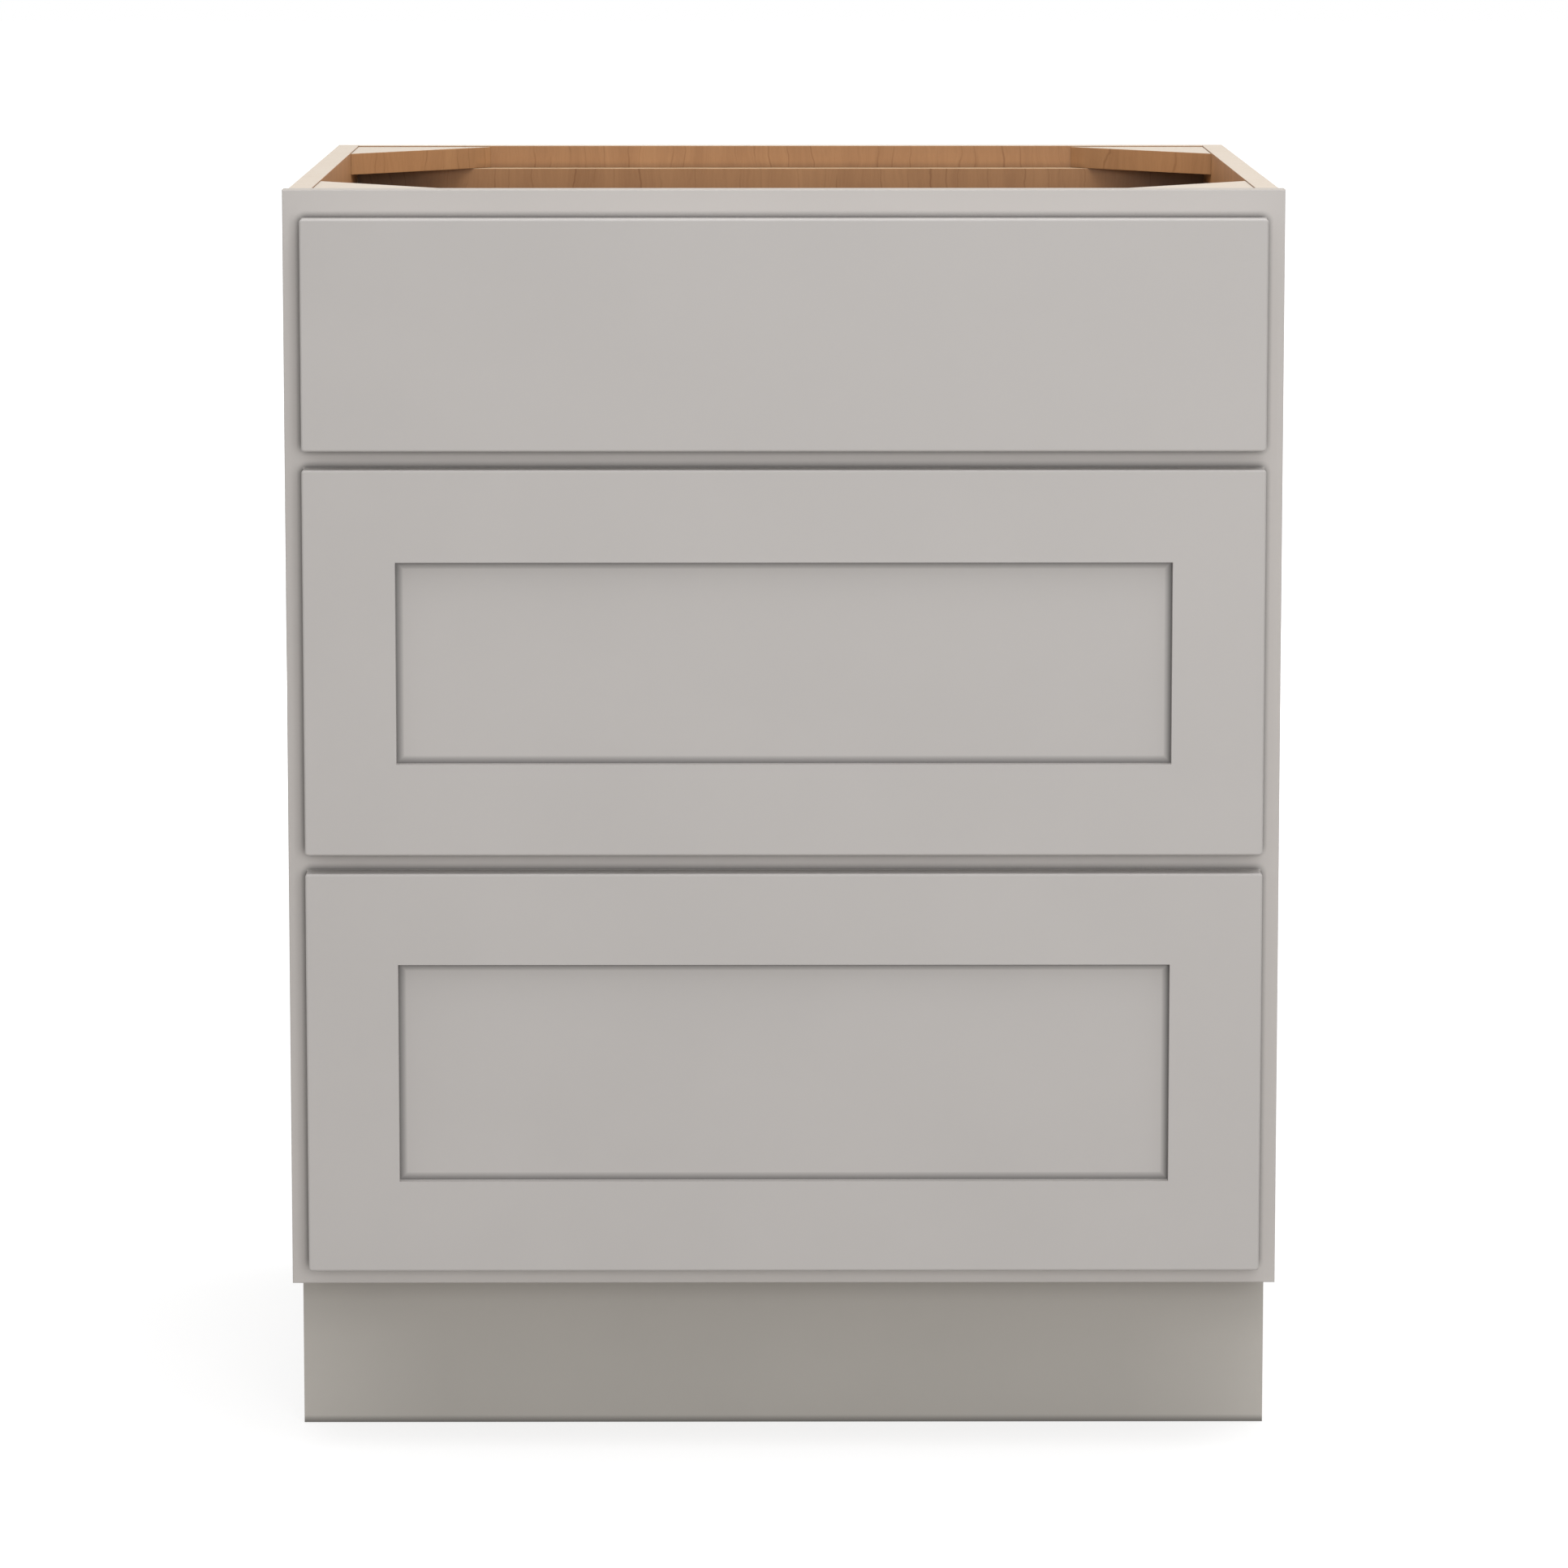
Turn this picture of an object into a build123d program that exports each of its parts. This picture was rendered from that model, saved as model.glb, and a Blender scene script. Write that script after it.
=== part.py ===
from build123d import *
import os

os.makedirs("parts", exist_ok=True)

# Overall size of the cabinet, in millimetres: X right, Y to the wall, Z up, floor at zero
cabinet_width = 685.8
cabinet_height = 876.3
cabinet_depth = 609.6

# Carcass boards
side_thickness = 15.875
back_thickness = 12.7
hanging_rail_thickness = 15.875
hanging_rail_height = 101.6
dado_depth = 6.35
brace_leg = 101.6
brace_thickness = 15.875
brace_drop = 0.8
toe_height = 114.3
toe_recess = 63.5
toe_thickness = 12.7

# Face frame
frame_thickness = 19.05
frame_overhang = 3.175
stile_width = 38.1
rail_height = 38.1
top_opening_height = 127.0
tenon_length = 12.7
tenon_thickness = 6.35
tenon_shoulder = 6.35
mortise_end_gap = 0.5
frame_edge_radius = 0.8

# Drawer fronts
front_thickness = 19.05
front_side_reveal = 12.7
front_top_reveal = 19.05
front_bottom_reveal = 12.7
front_gap = 12.7
front_member_width = 63.5
front_corner_radius = 2.2
front_edge_radius = 1.5
panel_thickness = 6.35
panel_recess = 8.0
panel_groove_depth = 9.5
panel_play = 0.4

# Soft pads between the fronts and the face frame
bumper_thickness = 1.6
bumper_radius = 4.0
bumper_sides = 8
bumper_inset = 14.0

# Drawer boxes
box_rear_gap = 49.225
box_thickness = 15.875
box_side_gap = 4.75
box_lift = 14.3
box_headroom = 11.1
bottom_thickness = 6.35
bottom_recess = 12.7
bottom_groove_depth = 6.35
bottom_play = 0.3
dovetail_pitch = 25.4
tail_reach = 11.1
tail_width = 12.0
tail_slope = 0.167
runner_notch_width = 46.0

# Undermount slides: steel channels on the cabinet, roller carriages, runners on the drawer
slide_setback = 3.0
slide_lift = 3.0
slide_side_gap = 1.0
slide_flange_height = 27.0
channel_width = 41.0
channel_steel = 1.5
channel_front_gap = 2.0
runner_steel = 1.2
wall_gap = 0.9
flange_gap = 0.5
lift_gap = 0.5
lip_gap = 0.6
neck_inset = 3.3
runner_height = 12.0
runner_front_gap = 0.5
carriage_front_setback = 45.0
carriage_rear_setback = 28.4
carriage_steel = 1.2
roller_gap = 0.25
roller_length = 24.0
roller_end_distance = 30.0
rollers_per_carriage = 2
window_gap = 0.3
hook_gap = 0.3
hook_height = 10.0
prong_width = 5.0
prong_reach = 6.0
prong_gap = 0.4
bracket_steel = 1.5
bracket_height = 36.0
bracket_overlap = 30.0
bracket_bend_radius = 3.0

# Release locks under the front of each drawer
lock_near = 2.5
lock_width = 32.0
lock_length = 64.0
lock_steel = 1.6
lock_flange_height = 11.0
lever_thickness = 2.6
lever_top_gap = 0.4
lever_boss_radius = 5.5
lever_pin_radius = 2.5
lever_pin_gap = 0.1
lever_pin_end = 1.2
lever_pin_inset = 14.0
lever_pin_setback = 30.0
lever_arm_width = 8.0
lever_arm_length = 24.0
lever_tongue_width = 6.0
lever_tongue_bite = 1.6
lever_tab_reach = 15.0
lever_tab_setback = 15.0
lever_tab_radius = 4.5
lever_notch_front_gap = 0.8
lever_notch_rear_gap = 6.0

# Planes that the pieces share
half_width = cabinet_width / 2
front_stand_off = front_thickness + bumper_thickness
front_face = -(cabinet_depth + front_stand_off) / 2
front_rear = front_face + front_thickness
frame_front = front_face + front_stand_off
frame_back = frame_front + frame_thickness
wall_face = frame_front + cabinet_depth
rail_front = wall_face - hanging_rail_thickness
back_front = rail_front - back_thickness
side_outer = half_width - frame_overhang
side_inner = side_outer - side_thickness
opening_half = half_width - stile_width
front_half = half_width - front_side_reveal
frame_height = cabinet_height - toe_height
lower_opening_height = (frame_height - 4 * rail_height - top_opening_height) / 2
deck_top = toe_height + rail_height
deck_bottom = deck_top - side_thickness
brace_top = cabinet_height - brace_drop
brace_bottom = brace_top - brace_thickness
toe_face = frame_front + toe_recess
toe_back = toe_face + toe_thickness
box_outer = opening_half - box_side_gap
box_inner = box_outer - box_thickness
box_rear = back_front - box_rear_gap
box_length = box_rear - front_rear
box_front_inner = front_rear + box_thickness
box_back_inner = box_rear - box_thickness

# Sill heights of the three drawer openings, and the overlay of the fronts on the rails
bottom_sill = deck_top
middle_sill = bottom_sill + lower_opening_height + rail_height
top_sill = middle_sill + lower_opening_height + rail_height
rail_overlay = (rail_height - front_gap) / 2

# Slide section, measured inward from the stile edge and up from the sill
channel_near = box_side_gap + box_thickness + slide_side_gap
channel_far = channel_near + channel_width
channel_floor = slide_lift + channel_steel
carriage_near = channel_near + channel_steel + wall_gap
carriage_far = channel_far - channel_steel - wall_gap
runner_near = carriage_near + carriage_steel + flange_gap
runner_far = carriage_far - carriage_steel - flange_gap
neck_near = runner_near + neck_inset
neck_far = runner_far - neck_inset
runner_top = box_lift + bottom_recess
runner_bottom = runner_top - runner_height
carriage_lip_top = runner_bottom + runner_steel + lift_gap + carriage_steel
channel_lip_top = carriage_lip_top + lift_gap + channel_steel
roller_centre = (channel_floor + runner_bottom) / 2
roller_radius = (runner_bottom - channel_floor) / 2 - roller_gap
channel_front = frame_front + slide_setback
channel_rear = channel_front + box_length
channel_wall_front = box_front_inner + channel_front_gap
carriage_front = channel_front + carriage_front_setback
carriage_rear = channel_rear - carriage_rear_setback
runner_front = box_front_inner + runner_front_gap
hook_front = box_rear + hook_gap
runner_rear = hook_front + runner_steel

# Lock section, in the same measure
lock_left = runner_far + lock_near
lock_right = lock_left + lock_width
lock_bottom = runner_top - lock_steel
lever_top = lock_bottom - lever_top_gap
lever_bottom = lever_top - lever_thickness
pin_end = lever_bottom - lever_pin_end
pin_inward = lock_left + lever_pin_inset
pin_back = box_front_inner + lever_pin_setback
tongue_front = pin_back + lever_arm_length - lever_tongue_width
tongue_tip = neck_far - runner_steel - lever_tongue_bite


def block(left, right, front, back, bottom, top):
    """A square board between six faces."""
    centre = Pos((left + right) / 2, (front + back) / 2, (bottom + top) / 2)
    return centre * Box(right - left, back - front, top - bottom)


def mirrored(shape):
    """The same piece on the other side of the cabinet."""
    return mirror(shape, about=Plane.YZ)


def save(name, *shapes):
    """Write one node, which may be a group of like solids."""
    solids = [solid for shape in shapes for solid in shape.solids()]
    piece = solids[0] if len(solids) == 1 else Compound(children=solids)
    export_step(piece, f"parts/{name}.step")


def slide_plane(y, sill):
    """A plane across the right slide: inward from the stile edge, and up from the sill."""
    return Plane(origin=(opening_half, y, sill), x_dir=(-1, 0, 0), z_dir=(0, 1, 0))


def plan_plane(height, sill):
    """A plane seen from above at the right slide: inward, and back along Y. It extrudes downward."""
    return Plane(origin=(opening_half, 0, sill + height), x_dir=(-1, 0, 0), z_dir=(0, 0, -1))


def strip(near, far, low, high):
    """One straight run of a section, between two lines each way."""
    return Pos((near + far) / 2, (low + high) / 2) * Rectangle(far - near, high - low)


# Carcass
def side_panel():
    """Right side, with the toe notch and the dados for the deck and the back."""
    board = block(side_inner, side_outer, frame_back, wall_face, 0, cabinet_height)
    toe_notch = block(side_inner, side_outer, frame_back, toe_back, 0, toe_height)
    dado_end = side_inner + dado_depth
    deck_dado = block(side_inner, dado_end, frame_back, back_front, deck_bottom, deck_top)
    back_dado = block(side_inner, dado_end, back_front, rail_front, deck_bottom, brace_bottom)
    return board - [toe_notch, deck_dado, back_dado]


def corner_brace(corner_y, toward):
    """Right-hand triangular brace. toward is 1 when it runs back from its corner, or -1 if forward."""
    outline = Polyline(
        (side_inner, corner_y),
        (side_inner - brace_leg, corner_y),
        (side_inner, corner_y + toward * brace_leg),
        close=True,
    )
    return extrude(Pos(0, 0, brace_bottom) * make_face(outline), amount=brace_thickness, dir=(0, 0, 1))


def toe_kick():
    """Toe board across both sides, with a shouldered tongue that rises between them to carry the deck."""
    outline = Polyline(
        (-side_outer, 0),
        (side_outer, 0),
        (side_outer, toe_height),
        (side_inner, toe_height),
        (side_inner, deck_bottom),
        (-side_inner, deck_bottom),
        (-side_inner, toe_height),
        (-side_outer, toe_height),
        close=True,
    )
    face = Plane.XZ.offset(-toe_face) * make_face(outline)
    return extrude(face, amount=toe_thickness, dir=(0, 1, 0))


right_side = side_panel()
save("side_panel_right", right_side)
save("side_panel_left", mirrored(right_side))
deck_half = side_inner + dado_depth
save("bottom_panel", block(-deck_half, deck_half, frame_back, back_front, deck_bottom, deck_top))
save("back_panel", block(-deck_half, deck_half, back_front, rail_front, deck_bottom, brace_bottom))
rail_bottom = cabinet_height - hanging_rail_height
save("hanging_rail", block(-side_inner, side_inner, rail_front, wall_face, rail_bottom, cabinet_height))
save("toe_kick", toe_kick())
right_braces = [corner_brace(frame_back, 1), corner_brace(rail_front, -1)]
save("corner_braces", *right_braces, *[mirrored(brace) for brace in right_braces])


# Face frame
def frame_blank():
    """The outline of the whole face frame, with its outer face edges eased."""
    blank = block(-half_width, half_width, frame_front, frame_back, toe_height, cabinet_height)
    return fillet(blank.faces().sort_by(Axis.Y)[0].edges(), frame_edge_radius)


def tenons(bottom, grow):
    """The two tenons of a rail, or their mortises when grow is the room at the end of the tenon."""
    reach = opening_half + tenon_length + grow
    middle = (frame_front + frame_back) / 2
    front = middle - tenon_thickness / 2
    back = middle + tenon_thickness / 2
    low = bottom + tenon_shoulder
    high = bottom + rail_height - tenon_shoulder
    right = block(opening_half, reach, front, back, low, high)
    return [right, mirrored(right)]


outline = frame_blank()
rail_bottoms = {
    "frame_bottom_rail": toe_height,
    "frame_lower_mid_rail": middle_sill - rail_height,
    "frame_upper_mid_rail": top_sill - rail_height,
    "frame_top_rail": cabinet_height - rail_height,
}
stile = outline & block(opening_half, half_width, frame_front, frame_back, toe_height, cabinet_height)
for bottom in rail_bottoms.values():
    stile = stile - tenons(bottom, mortise_end_gap)[0]
save("frame_stile_right", stile)
save("frame_stile_left", mirrored(stile))
for name, bottom in rail_bottoms.items():
    space = block(-opening_half, opening_half, frame_front, frame_back, bottom, bottom + rail_height)
    save(name, (outline & space) + tenons(bottom, 0))


# Slides
def slide_channel(sill):
    """Steel channel on the stile edge. Its walls start behind the box front and turn in at the top."""
    lip_low = channel_lip_top - channel_steel
    flange_top = slide_lift + slide_flange_height
    base = strip(0, channel_far, slide_lift, channel_floor)
    base += strip(0, channel_steel, slide_lift, flange_top)
    walls = strip(channel_near, channel_near + channel_steel, slide_lift, channel_lip_top)
    walls += strip(channel_near, neck_near - lip_gap, lip_low, channel_lip_top)
    walls += strip(channel_far - channel_steel, channel_far, slide_lift, channel_lip_top)
    walls += strip(neck_far + lip_gap, channel_far, lip_low, channel_lip_top)
    base_bar = extrude(slide_plane(channel_front, sill) * base, amount=box_length)
    wall_length = channel_rear - channel_wall_front
    wall_bars = extrude(slide_plane(channel_wall_front, sill) * walls, amount=wall_length)
    return base_bar + wall_bars


def rear_bracket(sill):
    """Bent steel bracket from the rear of the channel to the back of the cabinet."""
    low = sill + slide_lift - bracket_steel
    front = channel_rear - bracket_overlap
    outline = Polyline(
        (front, low),
        (back_front, low),
        (back_front, low + bracket_height),
        (back_front - bracket_steel, low + bracket_height),
        (back_front - bracket_steel, low + bracket_steel),
        (front, low + bracket_steel),
        close=True,
    )
    profile = make_face(outline)
    bend_corner = (back_front - bracket_steel, low + bracket_steel, 0)
    inner_bend = profile.vertices().sort_by_distance(bend_corner)[0]
    profile = fillet(inner_bend, bracket_bend_radius)
    plane = Plane.YZ.offset(opening_half - channel_far)
    return extrude(plane * profile, amount=channel_width)


def roller_places():
    """Positions of the rollers along a carriage."""
    first = carriage_front + roller_end_distance
    last = carriage_rear - roller_end_distance
    step = (last - first) / (rollers_per_carriage - 1)
    return [first + step * index for index in range(rollers_per_carriage)]


def carriage(sill):
    """Roller carriage that runs in the channel, and its rollers, each in a window of its web."""
    web_low = roller_centre - carriage_steel / 2
    web_high = roller_centre + carriage_steel / 2
    lip_low = carriage_lip_top - carriage_steel
    section = strip(carriage_near, carriage_far, web_low, web_high)
    section += strip(carriage_near, carriage_near + carriage_steel, web_low, carriage_lip_top)
    section += strip(carriage_near, neck_near - lip_gap, lip_low, carriage_lip_top)
    section += strip(carriage_far - carriage_steel, carriage_far, web_low, carriage_lip_top)
    section += strip(neck_far + lip_gap, carriage_far, lip_low, carriage_lip_top)
    body = extrude(slide_plane(carriage_front, sill) * section, amount=carriage_rear - carriage_front)
    middle = opening_half - (carriage_near + carriage_far) / 2
    height = sill + roller_centre
    window = Box(roller_length + 2 * window_gap, 2 * (roller_radius + window_gap), 2 * carriage_steel)
    roller = Cylinder(roller_radius, roller_length, rotation=(0, 90, 0))
    places = [Pos(middle, y, height) for y in roller_places()]
    body = body - [place * window for place in places]
    return [body] + [place * roller for place in places]


def runner(sill):
    """Runner under the drawer, with a notch for its lock and a hook at the rear of the box."""
    top_low = runner_top - runner_steel
    section = strip(runner_near, runner_far, runner_bottom, runner_bottom + runner_steel)
    section += strip(neck_near, neck_near + runner_steel, runner_bottom, runner_top)
    section += strip(neck_far - runner_steel, neck_far, runner_bottom, runner_top)
    section += strip(runner_near, neck_near + runner_steel, top_low, runner_top)
    section += strip(neck_far - runner_steel, runner_far, top_low, runner_top)
    bar = extrude(slide_plane(runner_front, sill) * section, amount=runner_rear - runner_front)
    hook_face = strip(neck_near, neck_far, runner_bottom, runner_top + hook_height)
    hook = extrude(slide_plane(hook_front, sill) * hook_face, amount=runner_steel)
    reach = hook_gap + prong_reach
    prong = extrude(slide_plane(hook_front - reach, sill) * prong_section(0), amount=reach)
    notch_front = tongue_front - lever_notch_front_gap
    notch_back = tongue_front + lever_tongue_width + lever_notch_rear_gap
    notch = block(
        opening_half - neck_far,
        opening_half - neck_far + runner_steel,
        notch_front,
        notch_back,
        sill + lever_bottom - lift_gap,
        sill + top_low,
    )
    return bar + [hook, prong] - notch


def prong_section(grow):
    """Outline of the rear hook's prong, or of its slot when grow is the room all round it."""
    middle = (neck_near + neck_far) / 2
    height = runner_top + hook_height / 2
    across = prong_width / 2 + grow
    rise = runner_steel / 2 + grow
    return strip(middle - across, middle + across, height - rise, height + rise)


def drawer_lock(sill):
    """Lock plate under the drawer bottom, with a front flange and the pin that carries the lever."""
    plate = extrude(
        slide_plane(box_front_inner, sill) * strip(lock_left, lock_right, lock_bottom, runner_top),
        amount=lock_length,
    )
    flange_low = runner_top - lock_flange_height
    flange = extrude(
        slide_plane(box_front_inner, sill) * strip(lock_left, lock_right, flange_low, runner_top),
        amount=lock_steel,
    )
    pin_circle = Pos(pin_inward, pin_back) * Circle(lever_pin_radius)
    pin = extrude(plan_plane(lock_bottom, sill) * pin_circle, amount=lock_bottom - pin_end)
    return plate + [flange, pin]


def release_lever(sill):
    """Squeeze lever: a boss on the pin, an arm with the tongue that locks the runner, and a finger tab."""
    arm_back = pin_back + lever_arm_length
    half_arm = lever_arm_width / 2
    outline = Pos(pin_inward, pin_back) * Circle(lever_boss_radius)
    outline += strip(pin_inward - half_arm, pin_inward + half_arm, pin_back, arm_back)
    outline += strip(tongue_tip, pin_inward, tongue_front, tongue_front + lever_tongue_width)
    tab_line = Line((pin_inward, pin_back), (pin_inward + lever_tab_reach, pin_back - lever_tab_setback))
    outline += SlotCenterToCenter(tab_line.length, 2 * lever_tab_radius).moved(
        Location(tab_line @ 0.5) * Rotation(0, 0, tab_line.tangent_angle_at(0))
    )
    outline -= Pos(pin_inward, pin_back) * Circle(lever_pin_radius + lever_pin_gap)
    return extrude(plan_plane(lever_top, sill) * outline, amount=lever_thickness)


# Drawer boxes
def tail_places(height):
    """Heights of the dovetails above the bottom edge of a box."""
    count = max(2, round(height / dovetail_pitch))
    return [(index + 0.5) * height / count for index in range(count)]


def tails(shoulder, toward, bottom, height):
    """The dovetails at one end of a right box side, which are also the sockets of the board they enter."""
    tip = tail_width / 2 + tail_reach * tail_slope
    root = tail_width / 2
    end = shoulder + toward * tail_reach
    prisms = []
    for rise in tail_places(height):
        middle = bottom + rise
        outline = Polyline(
            (shoulder, middle - root),
            (end, middle - tip),
            (end, middle + tip),
            (shoulder, middle + root),
            close=True,
        )
        face = Plane.YZ.offset(box_inner) * make_face(outline)
        prisms.append(extrude(face, amount=box_thickness, dir=(1, 0, 0)))
    return prisms


def box_side(bottom, height):
    """Right side of a drawer box, with tails at both ends and the groove for the bottom."""
    top = bottom + height
    board = block(box_inner, box_outer, box_front_inner, box_back_inner, bottom, top)
    board = board + tails(box_front_inner, -1, bottom, height) + tails(box_back_inner, 1, bottom, height)
    low = bottom + bottom_recess
    groove = block(
        box_inner, box_inner + bottom_groove_depth, front_rear, box_rear, low, low + bottom_thickness
    )
    return board - groove


def box_end(inner, outer, toward, bottom, height):
    """Front or back of a drawer box, with the dovetail sockets and the groove for the bottom."""
    board = block(-box_outer, box_outer, min(inner, outer), max(inner, outer), bottom, bottom + height)
    sockets = tails(inner, toward, bottom, height)
    groove_end = inner + toward * bottom_groove_depth
    groove_half = box_inner + bottom_groove_depth
    low = bottom + bottom_recess
    front = min(inner, groove_end)
    back = max(inner, groove_end)
    groove = block(-groove_half, groove_half, front, back, low, low + bottom_thickness)
    return board - sockets - [mirrored(socket) for socket in sockets] - groove


def box_back(bottom, height, sill):
    """Back of a drawer box, notched over the runners and slotted for their hooks."""
    board = box_end(box_back_inner, box_rear, 1, bottom, height)
    notch = block(
        box_inner - runner_notch_width, box_inner, box_back_inner, box_rear, bottom, bottom + bottom_recess
    )
    slot_depth = prong_reach + prong_gap
    slot_plane = slide_plane(box_rear - slot_depth, sill)
    slot = extrude(slot_plane * prong_section(prong_gap), amount=slot_depth)
    return board - [notch, slot, mirrored(notch), mirrored(slot)]


def box_bottom(bottom):
    """Drawer bottom, let into grooves on all four sides."""
    half = box_inner + bottom_groove_depth - bottom_play
    front = box_front_inner - bottom_groove_depth + bottom_play
    back = box_back_inner + bottom_groove_depth - bottom_play
    low = bottom + bottom_recess
    return block(-half, half, front, back, low, low + bottom_thickness)


# Drawer fronts
def front_blank(bottom, top):
    """A drawer front in one piece, with rounded corners and eased face edges."""
    blank = block(-front_half, front_half, front_face, front_rear, bottom, top)
    blank = fillet(blank.edges().filter_by(Axis.Y), front_corner_radius)
    return fillet(blank.faces().sort_by(Axis.Y)[0].edges(), front_edge_radius)


def five_piece_front(name, bottom, top):
    """Two stiles, two rails and a flat panel that floats in their grooves."""
    blank = front_blank(bottom, top)
    inner = front_half - front_member_width
    panel_front = front_face + panel_recess
    panel_back = panel_front + panel_thickness
    low = bottom + front_member_width
    high = top - front_member_width
    groove_half = inner + panel_groove_depth
    groove_low = low - panel_groove_depth
    groove_high = high + panel_groove_depth
    groove = block(-groove_half, groove_half, panel_front, panel_back, groove_low, groove_high)
    stile = blank & block(inner, front_half, front_face, front_rear, bottom, top)
    stile_groove = block(inner, groove_half, panel_front, panel_back, bottom, top)
    stile = stile - stile_groove
    save(f"{name}_front_stile_right", stile)
    save(f"{name}_front_stile_left", mirrored(stile))
    for place, rail_low, rail_high in (("bottom", bottom, low), ("top", high, top)):
        rail = blank & block(-inner, inner, front_face, front_rear, rail_low, rail_high)
        tongues = block(-groove_half, groove_half, panel_front, panel_back, rail_low, rail_high)
        save(f"{name}_front_rail_{place}", rail + tongues - groove)
    reach = panel_groove_depth - panel_play
    panel = block(-inner - reach, inner + reach, panel_front, panel_back, low - reach, high + reach)
    save(f"{name}_front_panel", panel)


def drawer(name, sill, opening_height, front_low, front_high, flat_front):
    """One drawer: its box, front, slide members and locks."""
    bottom = sill + box_lift
    height = opening_height - box_lift - box_headroom
    right = box_side(bottom, height)
    save(f"{name}_box_side_right", right)
    save(f"{name}_box_side_left", mirrored(right))
    save(f"{name}_box_front", box_end(box_front_inner, front_rear, -1, bottom, height))
    save(f"{name}_box_back", box_back(bottom, height, sill))
    save(f"{name}_box_bottom", box_bottom(bottom))
    right_runner = runner(sill)
    save(f"{name}_slide_runners", right_runner, mirrored(right_runner))
    pieces = carriage(sill)
    save(f"{name}_slide_carriages", *pieces, *[mirrored(piece) for piece in pieces])
    right_lock = drawer_lock(sill)
    save(f"{name}_drawer_locks", right_lock, mirrored(right_lock))
    right_lever = release_lever(sill)
    save(f"{name}_lock_lever_right", right_lever)
    save(f"{name}_lock_lever_left", mirrored(right_lever))
    if flat_front:
        save(f"{name}_front_slab", front_blank(front_low, front_high))
    else:
        five_piece_front(name, front_low, front_high)


def bumpers(front_low, front_high):
    """Four pads on the face frame behind the corners of a drawer front."""
    x = front_half - bumper_inset
    heights = (front_low + bumper_inset, front_high - bumper_inset)
    outline = RegularPolygon(bumper_radius, bumper_sides, major_radius=False)
    face = Plane.XZ.offset(-frame_front) * outline
    pad = extrude(face, amount=bumper_thickness, dir=(0, -1, 0))
    return [Pos(side * x, 0, z) * pad for side in (-1, 1) for z in heights]


sills = (bottom_sill, middle_sill, top_sill)
right_channels = [slide_channel(sill) for sill in sills]
save("slide_channels", *right_channels, *[mirrored(channel) for channel in right_channels])
right_brackets = [rear_bracket(sill) for sill in sills]
save("slide_rear_brackets", *right_brackets, *[mirrored(bracket) for bracket in right_brackets])

bottom_front_low = toe_height + front_bottom_reveal
bottom_front_high = bottom_sill + lower_opening_height + rail_overlay
middle_front_low = middle_sill - rail_overlay
middle_front_high = middle_sill + lower_opening_height + rail_overlay
top_front_low = top_sill - rail_overlay
top_front_high = cabinet_height - front_top_reveal
drawer("bottom", bottom_sill, lower_opening_height, bottom_front_low, bottom_front_high, False)
drawer("middle", middle_sill, lower_opening_height, middle_front_low, middle_front_high, False)
drawer("top", top_sill, top_opening_height, top_front_low, top_front_high, True)
save(
    "drawer_bumpers",
    *bumpers(bottom_front_low, bottom_front_high),
    *bumpers(middle_front_low, middle_front_high),
    *bumpers(top_front_low, top_front_high),
)
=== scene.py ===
import math

import bmesh
import bpy
from mathutils import Matrix, Vector


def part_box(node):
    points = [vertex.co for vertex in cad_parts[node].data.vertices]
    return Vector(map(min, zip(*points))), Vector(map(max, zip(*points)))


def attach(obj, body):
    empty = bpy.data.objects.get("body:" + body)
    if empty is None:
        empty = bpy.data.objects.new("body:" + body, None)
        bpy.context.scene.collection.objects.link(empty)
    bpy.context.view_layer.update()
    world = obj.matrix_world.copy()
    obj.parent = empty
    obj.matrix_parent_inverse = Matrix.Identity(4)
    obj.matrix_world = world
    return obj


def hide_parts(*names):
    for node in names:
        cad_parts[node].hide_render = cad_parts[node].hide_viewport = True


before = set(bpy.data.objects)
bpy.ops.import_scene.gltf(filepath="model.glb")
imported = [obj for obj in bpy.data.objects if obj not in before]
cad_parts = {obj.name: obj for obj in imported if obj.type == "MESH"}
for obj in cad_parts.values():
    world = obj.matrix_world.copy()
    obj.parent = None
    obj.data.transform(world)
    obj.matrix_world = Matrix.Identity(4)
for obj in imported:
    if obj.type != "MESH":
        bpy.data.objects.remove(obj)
bpy.context.view_layer.update()

bl_info = {
    "name": "Drawer base cabinet looks",
    "version": (1, 0, 0),
    "blender": (4, 5, 0),
    "location": "3D View > Sidebar > Cabinet",
    "description": "Finishes, fittings and stage for a drawer base cabinet",
    "category": "Object",
}

DRAWERS = ("top", "middle", "bottom")
PANEL_FRONTS = ("middle", "bottom")
SIDES = ("left", "right")
FRAME_STILES = ("frame_stile_left", "frame_stile_right")
FRAME_RAILS = ("frame_top_rail", "frame_upper_mid_rail", "frame_lower_mid_rail", "frame_bottom_rail")


# Places read from the CAD parts
def inner_edge(node):
    """How far a node that stands on both sides of the cabinet stays from the middle."""
    return min(abs(vert.co.x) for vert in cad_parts[node].data.vertices)


# Sizes and colours that a user would change
def property_maker(kind, **settings):
    """A function that declares one kind of property from its name, description and default."""
    return lambda name, description, default: kind(
        name=name, description=description, default=default, **settings
    )


colour = property_maker(bpy.props.FloatVectorProperty, subtype="COLOR", size=3, min=0.0, max=1.0)
position = property_maker(bpy.props.FloatVectorProperty, subtype="TRANSLATION", unit="LENGTH")
length = property_maker(bpy.props.FloatProperty, subtype="DISTANCE", unit="LENGTH", min=0.0, precision=5)
angle = property_maker(bpy.props.FloatProperty, subtype="ANGLE", unit="ROTATION")
lens = property_maker(bpy.props.FloatProperty, unit="CAMERA")
power = property_maker(bpy.props.FloatProperty, unit="POWER", min=0.0)
share = property_maker(bpy.props.FloatProperty, subtype="FACTOR", min=0.0, max=1.0)


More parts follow.
